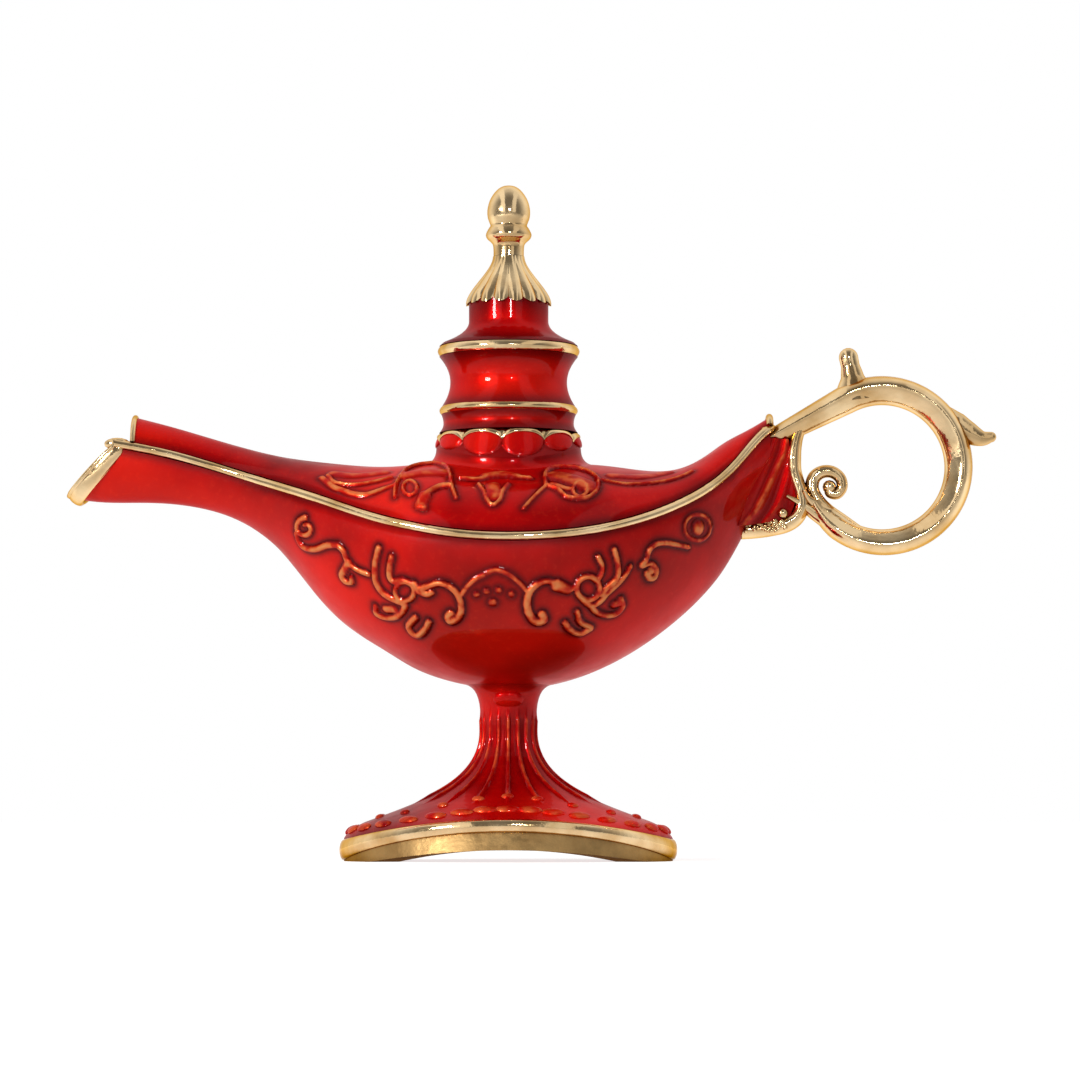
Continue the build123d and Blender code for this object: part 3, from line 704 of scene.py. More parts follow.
COVER_PLATES = (
    # raised grounds of the two cartouches, the leaf and the shoulders' leaves
    ([(406, 476), (424, 473), (442, 473)], 1.9, 2.2, 0.85),
    ([(425, 496), (421, 505)], 1.4, 1.4, 1.1),
    ([(486, 477), (502, 476), (516, 477)], 1.2, 1.2, 1.0),
    ([(493, 487), (494, 496)], 1.7, 1.5, 0.9),
    ([(556, 476), (572, 480), (588, 486)], 2.4, 2.4, 0.85),
    ([(334, 474), (356, 476), (384, 473)], 1.4, 1.4, 0.5),
    ([(612, 476), (640, 477), (668, 473)], 1.4, 1.4, 0.5),
)

# Groups of strokes: wear of the enamel on the ridges with painted glints there, darkness of the pooled
# enamel and painted shade beside them, roundness on top
BOWL_SCROLLS = ((1.0, 1.0, 0.75, BOWL_LINES), (0.75, 0.8, 0.75, ARCH_LINES))
COVER_SCROLLS = ((0.9, 0.8, 0.75, COVER_LINES), (0.6, 0.7, 0.35, COVER_PLATES))


def smooth_line(points, pieces=4):
    """Points along a smooth line through the given ones."""
    ends = np.vstack([2 * points[0] - points[1], points, 2 * points[-1] - points[-2]])
    share = np.linspace(0, 1, pieces, endpoint=False)[:, None]
    spans = []
    for a, b, c, d in zip(ends[:-3], ends[1:-2], ends[2:-1], ends[3:]):
        bend = 2 * a - 5 * b + 4 * c - d
        swing = -a + 3 * b - 3 * c + d
        spans.append(0.5 * (2 * b + (c - a) * share + bend * share**2 + swing * share**3))
    return np.vstack([*spans, points[-1:]])


def line_distance(points, line):
    """Distance of each point to a line of short runs, and the share of its length reached there."""
    nearest = np.full(len(points), np.inf)
    reached = np.zeros(len(points))
    runs = len(line) - 1
    for index in range(runs):
        start, run = line[index], line[index + 1] - line[index]
        share = np.clip((points - start) @ run / max(run @ run, TINY), 0, 1)
        away = np.linalg.norm(points - start - share[:, None] * run, axis=1)
        closer = away < nearest
        nearest[closer] = away[closer]
        reached[closer] = (index + share[closer]) / runs
    return nearest, reached


def cast_relief(points, surface, strokes):
    """Height, bare ridge with painted glint, and pooled enamel with painted shade that strokes give to
    points, the same on both sides.
    """
    front = points * np.array([1, 0, 1]) - np.abs(points) * np.array([0, 1, 0])
    height, bare, pool = np.zeros((3, len(points)))
    # wear sets how far each ridge shows copper, which also paints its glints; depth is the darkness of the
    # painted shade beside it
    for wear_and_glint, depth, crown, group in strokes:
        for pixels, start_width, end_width, share in group:
            line = smooth_line(on_surface(surface, pixels))
            reach = max(start_width, end_width) * MM + POOL_SHADE_REACH * POOL_SHADE_WIDTH
            near = np.all((front > line.min(0) - reach) & (front < line.max(0) + reach), axis=1)
            away, reached = line_distance(front[near], line)
            width = STROKE_SCALE * (start_width + (end_width - start_width) * reached) * MM
            ratio = np.clip(1 - (away / width) ** 2, 0, 1) ** crown
            height[near] = np.maximum(height[near], RIDGE_HEIGHT * share * ratio)
            bare[near] = np.maximum(bare[near], wear_and_glint * ratio)
            # painted shade: darker pooled enamel beside the ridge, falling off away from it
            outside = np.maximum(away - RIDGE_FOOT * width, 0)
            pool[near] = np.maximum(pool[near], depth * bell(outside, POOL_SHADE_WIDTH))
    return height, bare, pool


# Body shells

def graded(*spans):
    """Stops along spans of (start, end, step), rounded up so that every span ends on a coarse stop."""
    stops = []
    for start, end, step in spans:
        count = COARSE * math.ceil(abs(end - start) / step / COARSE)
        stops += list(np.linspace(start, end, count, endpoint=False))
    return np.array(stops + [spans[-1][1]])


def body_stations(first, last):
    """Places along the seam, close together where the scrolls are."""
    scrolls = (SCROLL_FRONT, SCROLL_BACK, FINE_STEP)
    return graded((first, SCROLL_FRONT, WIDE_STEP), scrolls, (SCROLL_BACK, last, WIDE_STEP))


def section_angles():
    """Angles from the front edge round to the back edge, close together where the scrolls are."""
    fine, wide = FINE_STEP / BODY_RADIUS, WIDE_STEP / BODY_RADIUS
    far = math.pi - SCROLL_ANGLE
    return graded((0, SCROLL_ANGLE, fine), (SCROLL_ANGLE, far, wide), (far, math.pi, fine))


def shell_points(surface, stations, edge_z, lean, side):
    """Grid of points on the outside of a shell, fanned from the middle of each station."""
    far = 0.08
    angles = section_angles()
    points = np.full((len(stations), len(angles), 3), np.nan)
    for i, (x, z, tilt) in enumerate(zip(stations, edge_z, lean)):
        centre = Vector((x, 0, z))
        away = side * Vector((math.sin(tilt), 0, math.cos(tilt)))
        for j, angle in enumerate(angles):
            ray = Vector((0, -math.cos(angle), 0)) + away * math.sin(angle)
            hit = surface.ray_cast(centre + far * ray, -ray)[0]
            if hit is not None and (hit - centre).dot(ray) > 0:
                points[i, j] = hit
    return points


def fill_gaps(points):
    """Replaces missing points by straight lines along the length of the grid."""
    stops = np.arange(len(points))
    for j in range(points.shape[1]):
        known = ~np.isnan(points[:, j, 0])
        for k in range(3):
            points[~known, j, k] = np.interp(stops[~known], stops[known], points[known, j, k])


def soften(points):
    """Evens out the facets of a grid and keeps its edges."""
    reach = int(3 * SOFTEN_SPREAD)
    weights = np.exp(-0.5 * (np.arange(-reach, reach + 1) / SOFTEN_SPREAD) ** 2)
    weights /= weights.sum()
    for axis in (0, 1):
        moved = np.moveaxis(points, axis, 0)
        before = 2 * moved[0] - moved[reach:0:-1]
        after = 2 * moved[-1] - moved[-2:-reach - 2:-1]
        padded = np.concatenate([before, moved, after])
        smooth = sum(w * padded[k:k + len(moved)] for k, w in enumerate(weights))
        points = np.moveaxis(smooth, 0, axis)
    return points


def shell_mesh(name, outer, centres, materials, bare, pool):
    """Closed shell from its outside grid, with a coarser inner wall and a solid tail."""
    rows, columns = outer.shape[:2]
    inner_rows = np.arange(0, rows - COARSE, COARSE)
    inner_columns = np.arange(0, columns, COARSE)
    picked = outer[np.ix_(inner_rows, inner_columns)]
    inward = centres[inner_rows][:, None] - picked
    depth = np.linalg.norm(inward, axis=-1, keepdims=True)
    inner = picked + inward / depth * np.minimum(SHELL_WALL, WALL_SHARE * depth)
    start, wide, last = rows * columns, len(inner_columns), len(inner_rows) - 1

    def outer_at(row, column):
        return row * columns + column

    def inner_at(row, column):
        return start + row * wide + column

    faces = grid_faces(rows, columns)
    red = len(faces)
    faces += [face[::-1] for face in grid_faces(len(inner_rows), wide, start)]
    for column, inner_column in ((0, 0), (columns - 1, wide - 1)):
        for row in range(last):
            edge = [outer_at(row * COARSE + k, column) for k in range(COARSE + 1)]
            faces.append(edge + [inner_at(row + 1, inner_column), inner_at(row, inner_column)])
    for column in range(wide - 1):
        edge = [outer_at(0, column * COARSE + k) for k in range(COARSE + 1)]
        faces.append(edge + [inner_at(0, column + 1), inner_at(0, column)])
    faces.append([inner_at(last, column) for column in range(wide)])
    faces.append([outer_at(rows - 1, column) for column in range(columns)])
    tail = range(last * COARSE, rows)
    front = [outer_at(row, 0) for row in tail]
    back = [outer_at(row, columns - 1) for row in tail]
    faces.append(front + back[::-1] + [inner_at(last, wide - 1), inner_at(last, 0)])
    slots = [0] * red + [1] * (len(faces) - red)
    points = np.vstack([outer.reshape(-1, 3), inner.reshape(-1, 3)])
    piece = mesh_piece(name, points, faces, materials, slots)
    spare = np.zeros(len(points) - start)
    add_values(piece, bare=np.concatenate([bare, spare]), pool=np.concatenate([pool, spare]))
    face_outwards(piece)
    return piece


def cut_with(piece, cutter):
    """Cuts a closed piece with another closed one, which is then removed."""
    step = piece.modifiers.new("cut", "BOOLEAN")
    step.operation = "DIFFERENCE"
    step.solver = "MANIFOLD"
    step.object = cutter
    mesh = worked_mesh(piece)
    piece.modifiers.remove(step)
    piece.data = mesh
    bpy.data.objects.remove(cutter)


def make_shell(name, node, side, first, scrolls, materials):
    """Upper or lower shell of the body: side is -1 below the seam and 1 above it."""
    surface = surface_of(node)
    stations = body_stations(first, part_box(node)[1].x - EDGE_GAP)
    edge_z = seam.read(seam.low if side < 0 else seam.high, stations) + side * EDGE_GAP
    lean = 0 * stations
    if side < 0:
        lean = MOUTH_LEAN * np.clip((LEAN_END - stations) / (LEAN_END - first), 0, 1)
    outer = shell_points(surface, stations, edge_z, lean, side)
    fill_gaps(outer)
    outer = soften(outer)
    height, bare, pool = cast_relief(outer.reshape(-1, 3), surface, scrolls)
    outer += side * grid_normals(outer) * height.reshape(outer.shape[:2])[..., None]
    # painted shade: a darker band along the seam
    along_seam = bell(outer[..., 2] - edge_z[:, None], SEAM_POOL_SHADE_WIDTH).ravel()
    pool = np.maximum(pool, SEAM_POOL_SHADE * along_seam)
    centres = np.stack([stations, 0 * stations, edge_z], axis=1)
    return shell_mesh(name, outer, centres, materials, bare, pool), outer


def make_body(red, trim):
    """Bowl and cover with their scrolls, the gold beads along their edges and the boss for the bolt."""
    bowl_front = BAND_LOW.x + EDGE_GAP
    bowl, bowl_grid = make_shell("bowl_shell", "bowl", -1, bowl_front, BOWL_SCROLLS, [red, trim])
    dress(bowl, LAMP, RED, "bowl")
    cover_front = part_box("cover")[0].x + EDGE_GAP
    cover, cover_grid = make_shell("cover_shell", "cover", 1, cover_front, COVER_SCROLLS, [red, trim])
    low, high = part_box("neck_collar")
    floor_z = low.z - NECK_HOLE
    bore = [(0, floor_z), (NECK_HOLE, floor_z), (NECK_HOLE, high.z), (0, high.z)]
    cut_with(cover, turned("neck_cutter", bore, red))
    dress(cover, LAMP, RED, "cover")
    make_rim_bead(cover_grid[-1, ::COARSE], trim)
    brow = path_tube("spout_brow", cover_grid[0, ::COARSE], 1.0, BROW_RADIUS, BROW_RADIUS, trim, (1, 0, 0))
    dress(brow, LAMP, GOLD)
    make_lip(bowl_grid[0, ::COARSE], trim)
    boss_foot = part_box("bowl")[0].z + SHELL_WALL / 2
    boss = [(BOLT_BORE, boss_foot), (BOSS_RADIUS, boss_foot), (BOSS_RADIUS, BOSS_TOP), (BOLT_BORE, BOSS_TOP)]
    dress(turned("bolt_boss", boss, trim), LAMP, GOLD)


def make_rim_bead(tail_edge, trim):
    """Gold bead along the seam, from one corner of the mouth to the other, and a hoop over the tail."""
    x = np.linspace(BAND_LOW.x, BAND_HIGH.x - BEAD_TAIL, SEAM_STOPS)
    front = seam_points(x)
    turns = np.linspace(0, math.pi, BEND_STOPS)[1:-1]
    climb = (front[-1] - front[-2]) / (x[-1] - x[-2])
    reach = BEAD_TAIL * np.sin(turns)
    bend = np.stack([x[-1] + reach, front[-1, 1] * np.cos(turns), front[-1, 2] + climb[2] * reach], axis=1)
    path = np.vstack([front, bend, front[::-1] * MIRROR])
    run = np.gradient(path, axis=0)
    outward = np.stack([run[:, 1], -run[:, 0], 0 * run[:, 0]], axis=1)
    bead = path_tube("seam", path, 1.0, BEAD_HALF_DEPTH, BEAD_HALF_HEIGHT, trim, outward)
    hoop = path_tube("hoop", tail_edge, 1.0, TAIL_HOOP_RADIUS, TAIL_HOOP_RADIUS, trim, (1, 0, 0))
    dress(joined("rim_bead", [bead, hoop]), LAMP, GOLD, "rim_band")


def make_lip(mouth, trim):
    """Flared gold lip round the slanted mouth, with a bead along its edge and knots at the seam's ends."""
    ahead = np.array([-math.cos(MOUTH_LEAN), 0, math.sin(MOUTH_LEAN)])
    outward = unit(np.cross(np.gradient(mouth, axis=0), ahead))
    outward *= np.sign(np.sum(outward * (mouth - mouth.mean(0)), axis=1, keepdims=True))
    path = mouth - ahead * LIP_SETBACK - outward * LIP_SINK
    corner = seam_points(np.array([BAND_LOW.x + LIP_SETBACK]))
    path = np.vstack([corner, path, corner * MIRROR])
    outward = np.vstack([outward[:1], outward, outward[-1:]])
    swell = LIP_CORNER + (1 - LIP_CORNER) * np.sin(np.pi * shares(len(path))) ** LIP_SWELL
    lip = path_tube("lip", path, swell[:, 0], LIP_HALF_THICK, LIP_HALF_WIDE, trim, outward)
    edge = path + ahead * (LIP_HALF_WIDE * swell - LIP_EDGE_RADIUS) + outward * LIP_EDGE_RADIUS
    bead = path_tube("lip_edge", edge, swell[:, 0], LIP_EDGE_RADIUS, LIP_EDGE_RADIUS, trim, outward)
    ends = np.vstack([corner, corner * MIRROR])
    along = seam_points(np.array([BAND_LOW.x + LIP_HALF_WIDE])) - corner
    lengthwise = np.vstack([along, along * MIRROR])
    knots = scattered("knots", ends, [(0, 0, 1.0)] * 2, lengthwise, CORNER_SIZE, trim)
    dress(joined("spout_rim", [lip, bead, knots]), LAMP, GOLD, "spout_lip")


# Turned pieces

def round_points(radius, z, angle):
    """Points about the lamp's axis."""
    flat = [AXIS_X + radius * np.cos(angle), radius * np.sin(angle)]
    return np.stack([*flat, z + 0 * radius * angle], axis=-1)


def heights_on(surface, radius, angle, side):
    """Heights of a surface over places about the axis, seen from below (1) or from above (-1)."""
    far = 0.3
    places = round_points(radius, -side * far, angle).reshape(-1, 3)
    hits = [surface.ray_cast(Vector(place), Vector((0, 0, side)))[0] for place in places]
    return np.array([hit.z for hit in hits]).reshape(np.broadcast(radius, angle).shape)


def fillet(surface, start_radius, end_radius, start_z, angle, side):
    """Radii and heights of a hollow from an upright wall onto a surface above (1) or below (-1) it."""
    share = shares(FILLET_ROWS)
    radius = start_radius + (end_radius - start_radius) * share**2 + 0 * angle
    rest = heights_on(surface, radius, angle, side)
    curve = start_z + (rest[-1] - start_z) * (1 - (1 - share) ** 2)
    blend = share**2 * (3 - 2 * share)
    return radius, (1 - blend) * curve + blend * (rest + side * FILLET_SINK * share)


def lofted(name, rings, material):
    """Closed piece from a row of closed rings, with both ends capped."""
    rows, columns = rings.shape[:2]
    faces = grid_faces(rows, columns, around=True)
    faces += [list(range(columns)), [(rows - 1) * columns + k for k in range(columns)]]
    piece = mesh_piece(name, rings.reshape(-1, 3), faces, [material])
    face_outwards(piece)
    return piece


def closed_grid(name, points, material, **values):
    """Closed piece from a grid that joins up with itself both ways round, with values on its points."""
    rows, columns = points.shape[:2]
    looped = grid_faces(rows + 1, columns, around=True)
    faces = [[index % (rows * columns) for index in face] for face in looped]
    piece = mesh_piece(name, points.reshape(-1, 3), faces, [material])
    add_values(piece, **values)
    face_outwards(piece, merge=True)
    return piece


def turned(name, outline, material):
    """Closed piece turned from a closed outline of (radius, height)."""
    outline = np.array(outline)
    grid = round_points(outline[:, :1], outline[:, 1:], ring_angles(TURNED_SIDES))
    return closed_grid(name, grid, material)


def soft_outline(outline, ease):
    """Outline with its corners rounded over the given length."""
    points = np.array(outline)
    result = []
    for before, corner, after in zip(np.roll(points, 1, axis=0), points, np.roll(points, -1, axis=0)):
        start, stop = [
            corner + (end - corner) * min(EASE_LIMIT, ease / np.linalg.norm(end - corner))
            for end in (before, after)
        ]
        for t in np.linspace(0, 1, CORNER_ROWS):
            result.append((1 - t) ** 2 * start + 2 * t * (1 - t) * corner + t**2 * stop)
    return result


def waisted(foot, waist, top, low, high):
    """Outline of a tier that flares from its waist to both ends."""
    levels = np.linspace(0, 1, TIER_ROWS)
    flare = (2 * levels - 1) ** 2
    ends = np.where(levels < 0.5, foot, top)
    return [(waist + (end - waist) * f, low + (high - low) * t) for t, f, end in zip(levels, flare, ends)]


def make_lid(red, trim):
    """Red tiers and gold rings of the lid, from the collar up to the crown."""
    nodes = ("lid_base", "lid_lower_ring", "lid_drum", "lid_upper_ring", "lid_crown")
    box = {node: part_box(node) for node in nodes}
    levels = {node: (low.z, high.z) for node, (low, high) in box.items()}
    widths = {node: (high.x - low.x) / 2 for node, (low, high) in box.items()}
    for node in ("lid_lower_ring", "lid_upper_ring"):
        low, high = levels[node]
        radius, middle = widths[node], (low + high) / 2
        ring = [(LID_BORE, low), (radius - RING_BEVEL, low), (radius, middle - RING_FLAT)]
        ring += [(radius, middle + RING_FLAT), (radius - RING_BEVEL, high), (LID_BORE, high)]
        dress(turned(node + "_bead", soft_outline(ring, RING_EASE), trim), LID, GOLD, node)
    lower, upper = widths["lid_lower_ring"] - TIER_INSET, widths["lid_upper_ring"] - TIER_INSET
    low, high = levels["lid_base"]
    base = waisted(widths["lid_base"], widths["lid_base"] - BASE_WAIST, lower, low, high + TIER_LAP)
    low, high = levels["lid_drum"]
    drum_waist = radius_at(surface_of("lid_drum"), (low + high) / 2)
    drum = waisted(lower, drum_waist, upper, low - TIER_LAP, high + TIER_LAP)
    low, high = levels["lid_crown"]
    crown_waist = radius_at(surface_of("lid_crown"), low + CROWN_WAIST_LEVEL * (high - low))
    crown = [(upper, low - TIER_LAP)]
    for share in np.linspace(0, 1, CROWN_ROWS):
        flare = CROWN_FLARE * (1 - share) ** CROWN_CURVE
        crown.append((crown_waist + flare, low + CROWN_FLARE_HEIGHT * share))
    crown.append((crown_waist, high + SCALLOP))
    for name, node, outline in (
        ("base_tier", "lid_base", base),
        ("drum_tier", "lid_drum", drum),
        ("crown_tier", "lid_crown", crown),
    ):
        tier = turned(name, [(LID_BORE, outline[0][1])] + outline + [(LID_BORE, outline[-1][1])], red)
        # painted shade: darker bands at both ends of the tier, next to the gold rings
        heights = np.array([vertex.co.z for vertex in tier.data.vertices])
        edges = np.minimum(heights - heights.min(), heights.max() - heights)
        add_values(tier, pool=TIER_POOL_SHADE * bell(edges, TIER_POOL_SHADE_WIDTH))
        dress(tier, LID, RED, node)


def make_finial(trim):
    """Fluted skirt with a scalloped edge, and the knob with its bulge and egg-shaped bulb."""
    low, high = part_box("finial_skirt")
    top = high.z - EDGE_GAP
    profile_z, profile = profile_of(surface_of("finial_skirt"), low.z + EDGE_GAP, top, SKIRT_STOPS)
    angle = ring_angles(FLUTES * FLUTE_SIDES)
    lobe = np.abs(np.sin(FLUTES * angle / 2))
    level = shares(SKIRT_ROWS)
    edge = low.z + SCALLOP * (1 - lobe)
    z = edge + level * (top - edge)
    radius = np.interp(z, profile_z, profile)
    fade = (radius / profile[0]) * np.clip(FLUTE_FADE - level, 0, 1)
    radius = radius + FLUTE_DEPTH * (lobe - FLUTE_CREST) * fade
    bore = np.full_like(lobe, LID_BORE)
    hollow_z = np.vstack([np.full_like(lobe, top), edge + SKIRT_FLOOR, edge + SKIRT_LIP])
    hollow_r = np.vstack([bore, bore, radius[0] - SKIRT_WALL])
    grid = round_points(np.vstack([radius, hollow_r]), np.vstack([z, hollow_z]), angle)
    dress(closed_grid("fluted_skirt", grid, trim), LID, GOLD, "finial_skirt")
    outline = smooth_line(np.array(KNOB_OUTLINE), KNOB_PIECES)
    drop = outline[:, :1] / outline[-1, 0] * (KNOB_HIGH.z - KNOB_LOW.z)
    radius = np.vstack([np.clip(outline[:, 1:], 0, None) * MM, [[0]]])
    z = np.vstack([KNOB_HIGH.z - drop, [[KNOB_LOW.z]]])
    grid = round_points(radius, z, ring_angles(TURNED_SIDES))
    dress(closed_grid("knob_bulbs", grid, trim), LID, GOLD, "finial_knob")


def lobe_place(angle, count):
    """Place across each of several lobes round a ring, from -1 to 1."""
    return 2 * np.mod(angle * count / TAU, 1) - 1


def make_collar(red, trim):
    """Neck collar with a ring of pillowed lobes above a flared foot, and its scalloped gold edging."""
    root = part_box("neck_collar")[0].z - COLLAR_ROOT
    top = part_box("collar_edge")[1].z - EDGE_GAP
    red_top = top - RED_DROP
    angle = ring_angles(LOBES * LOBE_SIDES)
    across = lobe_place(angle + COLLAR_TURN, LOBES)
    tall = COLLAR_SIDE_WALL + (COLLAR_WALL - COLLAR_SIDE_WALL) * np.sin(angle) ** 2
    surface = surface_of("neck_collar", "collar_edge")
    profile_z, profile = profile_of(surface, red_top - COLLAR_WALL, top, COLLAR_ROWS, (0, -1))
    spread = 2 * COLLAR_BLUR + 1
    profile = np.convolve(np.pad(profile, COLLAR_BLUR, mode="edge"), np.ones(spread) / spread, mode="valid")

    def wall(z):
        """Radius of the wall at heights, and the pillow of each lobe from 0 in the creases to nearly 1."""
        drop = (top - z) / tall
        pillow = np.sqrt(np.clip(1 - across**2 - ((drop - LOBE_MIDDLE) / LOBE_REACH) ** 2, 0, 1))
        radius = np.interp(z, profile_z, profile) - COLLAR_INSET * np.clip(1 - drop, 0, 1)
        return radius + LOBE_BULGE * (pillow - LOBE_SINK), pillow

    wall_z = red_top - tall * shares(COLLAR_ROWS)[::-1]
    wall_r, pillow = wall(wall_z)
    end_r = wall_r[0].min() + COLLAR_FLARE + (COLLAR_SIDE_FLARE - COLLAR_FLARE) * np.cos(angle) ** 2
    foot_r, foot_z = fillet(surface_of("cover"), wall_r[0], end_r, wall_z[0], angle, -1)
    inner_r = np.array([[NECK_BORE], [NECK_BORE], [NECK_HOLE]]) + 0 * angle
    inner_z = np.array([[red_top], [root], [root]]) + 0 * angle
    radius = np.vstack([foot_r[:0:-1], wall_r, inner_r, foot_r[-1:] - EDGE_LAP])
    z = np.vstack([foot_z[:0:-1], wall_z, inner_z, foot_z[-1:] - SHELL_WALL / 2])
    first = len(foot_r) - 1
    # painted shade in the creases between the lobes, fading down over the collar's foot
    pool = np.zeros(radius.shape)
    pool[first:first + len(wall_r)] = CREASE_POOL_SHADE * np.clip(1 - pillow / CREASE_WIDTH, 0, 1)
    pool[:first] = CREASE_POOL_SHADE * shares(first) ** CREASE_FADE
    collar = closed_grid("lobed_collar", round_points(radius, z, angle), red, bare=0 * pool, pool=pool)
    dress(collar, LAMP, RED, "neck_collar")
    hang = EDGING_BAND + CUSP_HANG * (1 - np.sqrt(np.clip(1 - across**2, 0, 1)))
    turn = half_turn(EDGING_ROWS)
    edge_z = top - hang / 2 * (1 - np.sin(turn))
    base = wall(edge_z)[0]
    inner_z = np.vstack([np.full_like(angle, top), top - hang])
    inner_r = np.vstack([base[-1:], base[:1]]) - EDGING_ROOT
    radius = np.vstack([base + EDGING_PROUD * np.cos(turn), inner_r])
    grid = round_points(radius, np.vstack([edge_z, inner_z]), angle)
    dress(closed_grid("scalloped_edging", grid, trim), LAMP, GOLD, "collar_edge")


def make_foot(red, trim, matt):
    """Ribbed stem that flows into the bowl, flared foot with its bosses, the gold band and the matt base."""
    low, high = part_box("foot_pedestal")
    surface = surface_of("foot_pedestal")
    profile_z, profile = profile_of(surface, low.z + EDGE_GAP, STEM_HEAD_START, FOOT_STOPS)
    angle = ring_angles(FOOT_SIDES)
    edge = band_edges(angle)[1] - EDGE_LAP
    z = edge + shares(FOOT_ROWS) * (profile_z[-1] - edge)
    radius = np.interp(z, profile_z, profile)
    shelf = band_outside(angle) - BAND_DEPTH + EDGE_LAP
    radius = np.vstack([np.maximum(radius[:1], shelf), radius])
    z = np.vstack([edge - 2 * EDGE_GAP, z])
    gap = np.pi / RIBS * radius * (1 - np.abs(lobe_place(angle + math.pi / 2, RIBS)))
    reach = np.clip((z - RIB_FOOT) / RIB_FADE, 0, 1) * np.clip((RIB_TOP - z) / RIB_FADE, 0, 1)
    rib = np.clip(1 - (gap / RIB_HALF_WIDTH) ** 2, 0, 1) * reach
    # painted shade beside the ribs and where the foot meets the band
    pool = RIB_POOL_SHADE * bell(np.maximum(gap - RIB_FLANK * RIB_HALF_WIDTH, 0), POOL_SHADE_WIDTH) * reach
    pool = np.maximum(pool, FOOT_POOL_SHADE * bell(np.hypot(z - edge, radius - radius[:1]), POOL_SHADE_WIDTH))
    points = round_points(radius, z, angle)
    points -= grid_normals(points) * (RIB_HEIGHT * rib)[..., None]
    head_r, head_z = fillet(surface_of("bowl"), profile[-1], STEM_HEAD_RADIUS, profile_z[-1], angle, 1)
    share = shares(HOLLOW_ROWS)
    wall_z = FOOT_CEILING * (1 - share) + (edge - EDGE_LAP) * share
    wall_r = np.interp(wall_z, profile_z, profile) - FOOT_WALL
    bore = np.full_like(angle, BOLT_BORE)
    bore_z = [np.full_like(angle, high.z + EDGE_LAP), np.full_like(angle, FOOT_CEILING)]
    inner_z = np.vstack([head_z[1:], head_z[-1:] + EDGE_LAP, *bore_z, wall_z])
    inner_r = np.vstack([head_r[1:], head_r[-1:] - EDGE_LAP, bore, bore, wall_r])
    grid = np.concatenate([points, round_points(inner_r, inner_z, angle)])
    spare = np.zeros(inner_z.shape)
    # copper on the rib tops, which also paints their glints
    bare = np.vstack([RIB_WEAR_GLINT * rib, spare])
    # painted shade where the stem runs into the bowl
    spare[:FILLET_ROWS - 1] = HEAD_POOL_SHADE * np.sin(np.pi * shares(FILLET_ROWS - 1))
    foot = closed_grid("ribbed_foot", grid, red, bare=bare, pool=np.vstack([pool, spare]))
    dress(foot, LAMP, RED, "foot_pedestal")
    make_bosses(red, profile_z, profile)
    front = 3 * FOOT_SIDES // 4
    bud_y = np.interp(BUD_Z, head_z[:, front], head_r[:, front]) - BUD_SINK
    places = [(AXIS_X, side * bud_y, BUD_Z) for side in (-1, 1)]
    facing = [(0, side, -BUD_LEAN) for side in (-1, 1)]
    dress(scattered("stem_buds", places, facing, [(1.0, 0, 0)] * 2, BUD_SIZE, red), LAMP, RED)
    make_foot_band(trim, matt)


def make_bosses(red, profile_z, profile):
    """Lozenges above the foot band, and the drops at the ends of the ribs."""
    for name, count, rise, shift, size in FOOT_BOSSES:
        places, facing, lengthwise = [], [], []
        for angle in TAU * (np.arange(count) + shift) / count:
            z = float(band_edges(angle)[1]) + rise
            radius, above = np.interp([z, z + EDGE_LAP], profile_z, profile)
            out = Vector((math.cos(angle), math.sin(angle), -(above - radius) / EDGE_LAP))
            places.append((AXIS_X + radius * math.cos(angle), radius * math.sin(angle), z))
            facing.append(out.normalized())
            lengthwise.append((-math.sin(angle), math.cos(angle), 0))
        bosses = scattered(name, places, facing, lengthwise, size, red)
        # copper on every boss, which also paints its glints
        add_values(bosses, bare=np.full(len(bosses.data.vertices), BOSS_WEAR_GLINT))
        dress(bosses, LAMP, RED)


def make_foot_band(trim, matt):
    """Rounded gold band that arches between the foot's two resting ends, and the matt base ring below it."""
    angle = ring_angles(BAND_SIDES)
    lower, upper = band_edges(angle)
    outside = band_outside(angle)
    lower = lower + BAND_RAISE * np.sin(angle) ** 2 - BAND_DROP * np.abs(np.cos(angle)) ** BAND_DROP_FADE
    turn = half_turn(BAND_ROWS)
    z = np.vstack([(lower + upper) / 2 + (upper - lower) / 2 * np.sin(turn), upper, lower])
    inner_r = outside - BAND_DEPTH
    radius = np.vstack([outside - BAND_ROUND + BAND_ROUND * np.cos(turn), inner_r, inner_r])
    dress(closed_grid("foot_band", round_points(radius, z, angle), trim), LAMP, GOLD, "foot_rim")
    low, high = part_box("foot_base")
    base = Extent("foot_base", low.x + EDGE_LAP, high.x - EDGE_LAP)
    bottom_r = np.full_like(angle, (high.x - low.x) / 2)
    bottom = base.read(base.low, AXIS_X + bottom_r * np.cos(angle))
    top_r = outside - BAND_ROUND
    z = np.vstack([bottom, lower + EDGE_LAP, lower + EDGE_LAP, bottom])
    radius = np.vstack([bottom_r, top_r, top_r - BASE_WIDTH, bottom_r - BASE_WIDTH])
    dress(closed_grid("base_ring", round_points(radius, z, angle), matt), LAMP, "matt_gold", "foot_base")


# Swept and scattered pieces

def node_group(name, **inputs):
    """Empty geometry tree with named inputs and their kinds, the sockets of these and the tree's start."""
    tree = bpy.data.node_groups.new(name, "GeometryNodeTree")
    tree.interface.new_socket("Geometry", in_out="INPUT", socket_type="NodeSocketGeometry")
    sockets = {}
    for label, kind in {**inputs, "material": "NodeSocketMaterial"}.items():
        sockets[label] = tree.interface.new_socket(label, in_out="INPUT", socket_type=kind).identifier
    tree.interface.new_socket("Geometry", in_out="OUTPUT", socket_type="NodeSocketGeometry")
    return tree, sockets, add_node(tree, "NodeGroupInput").outputs


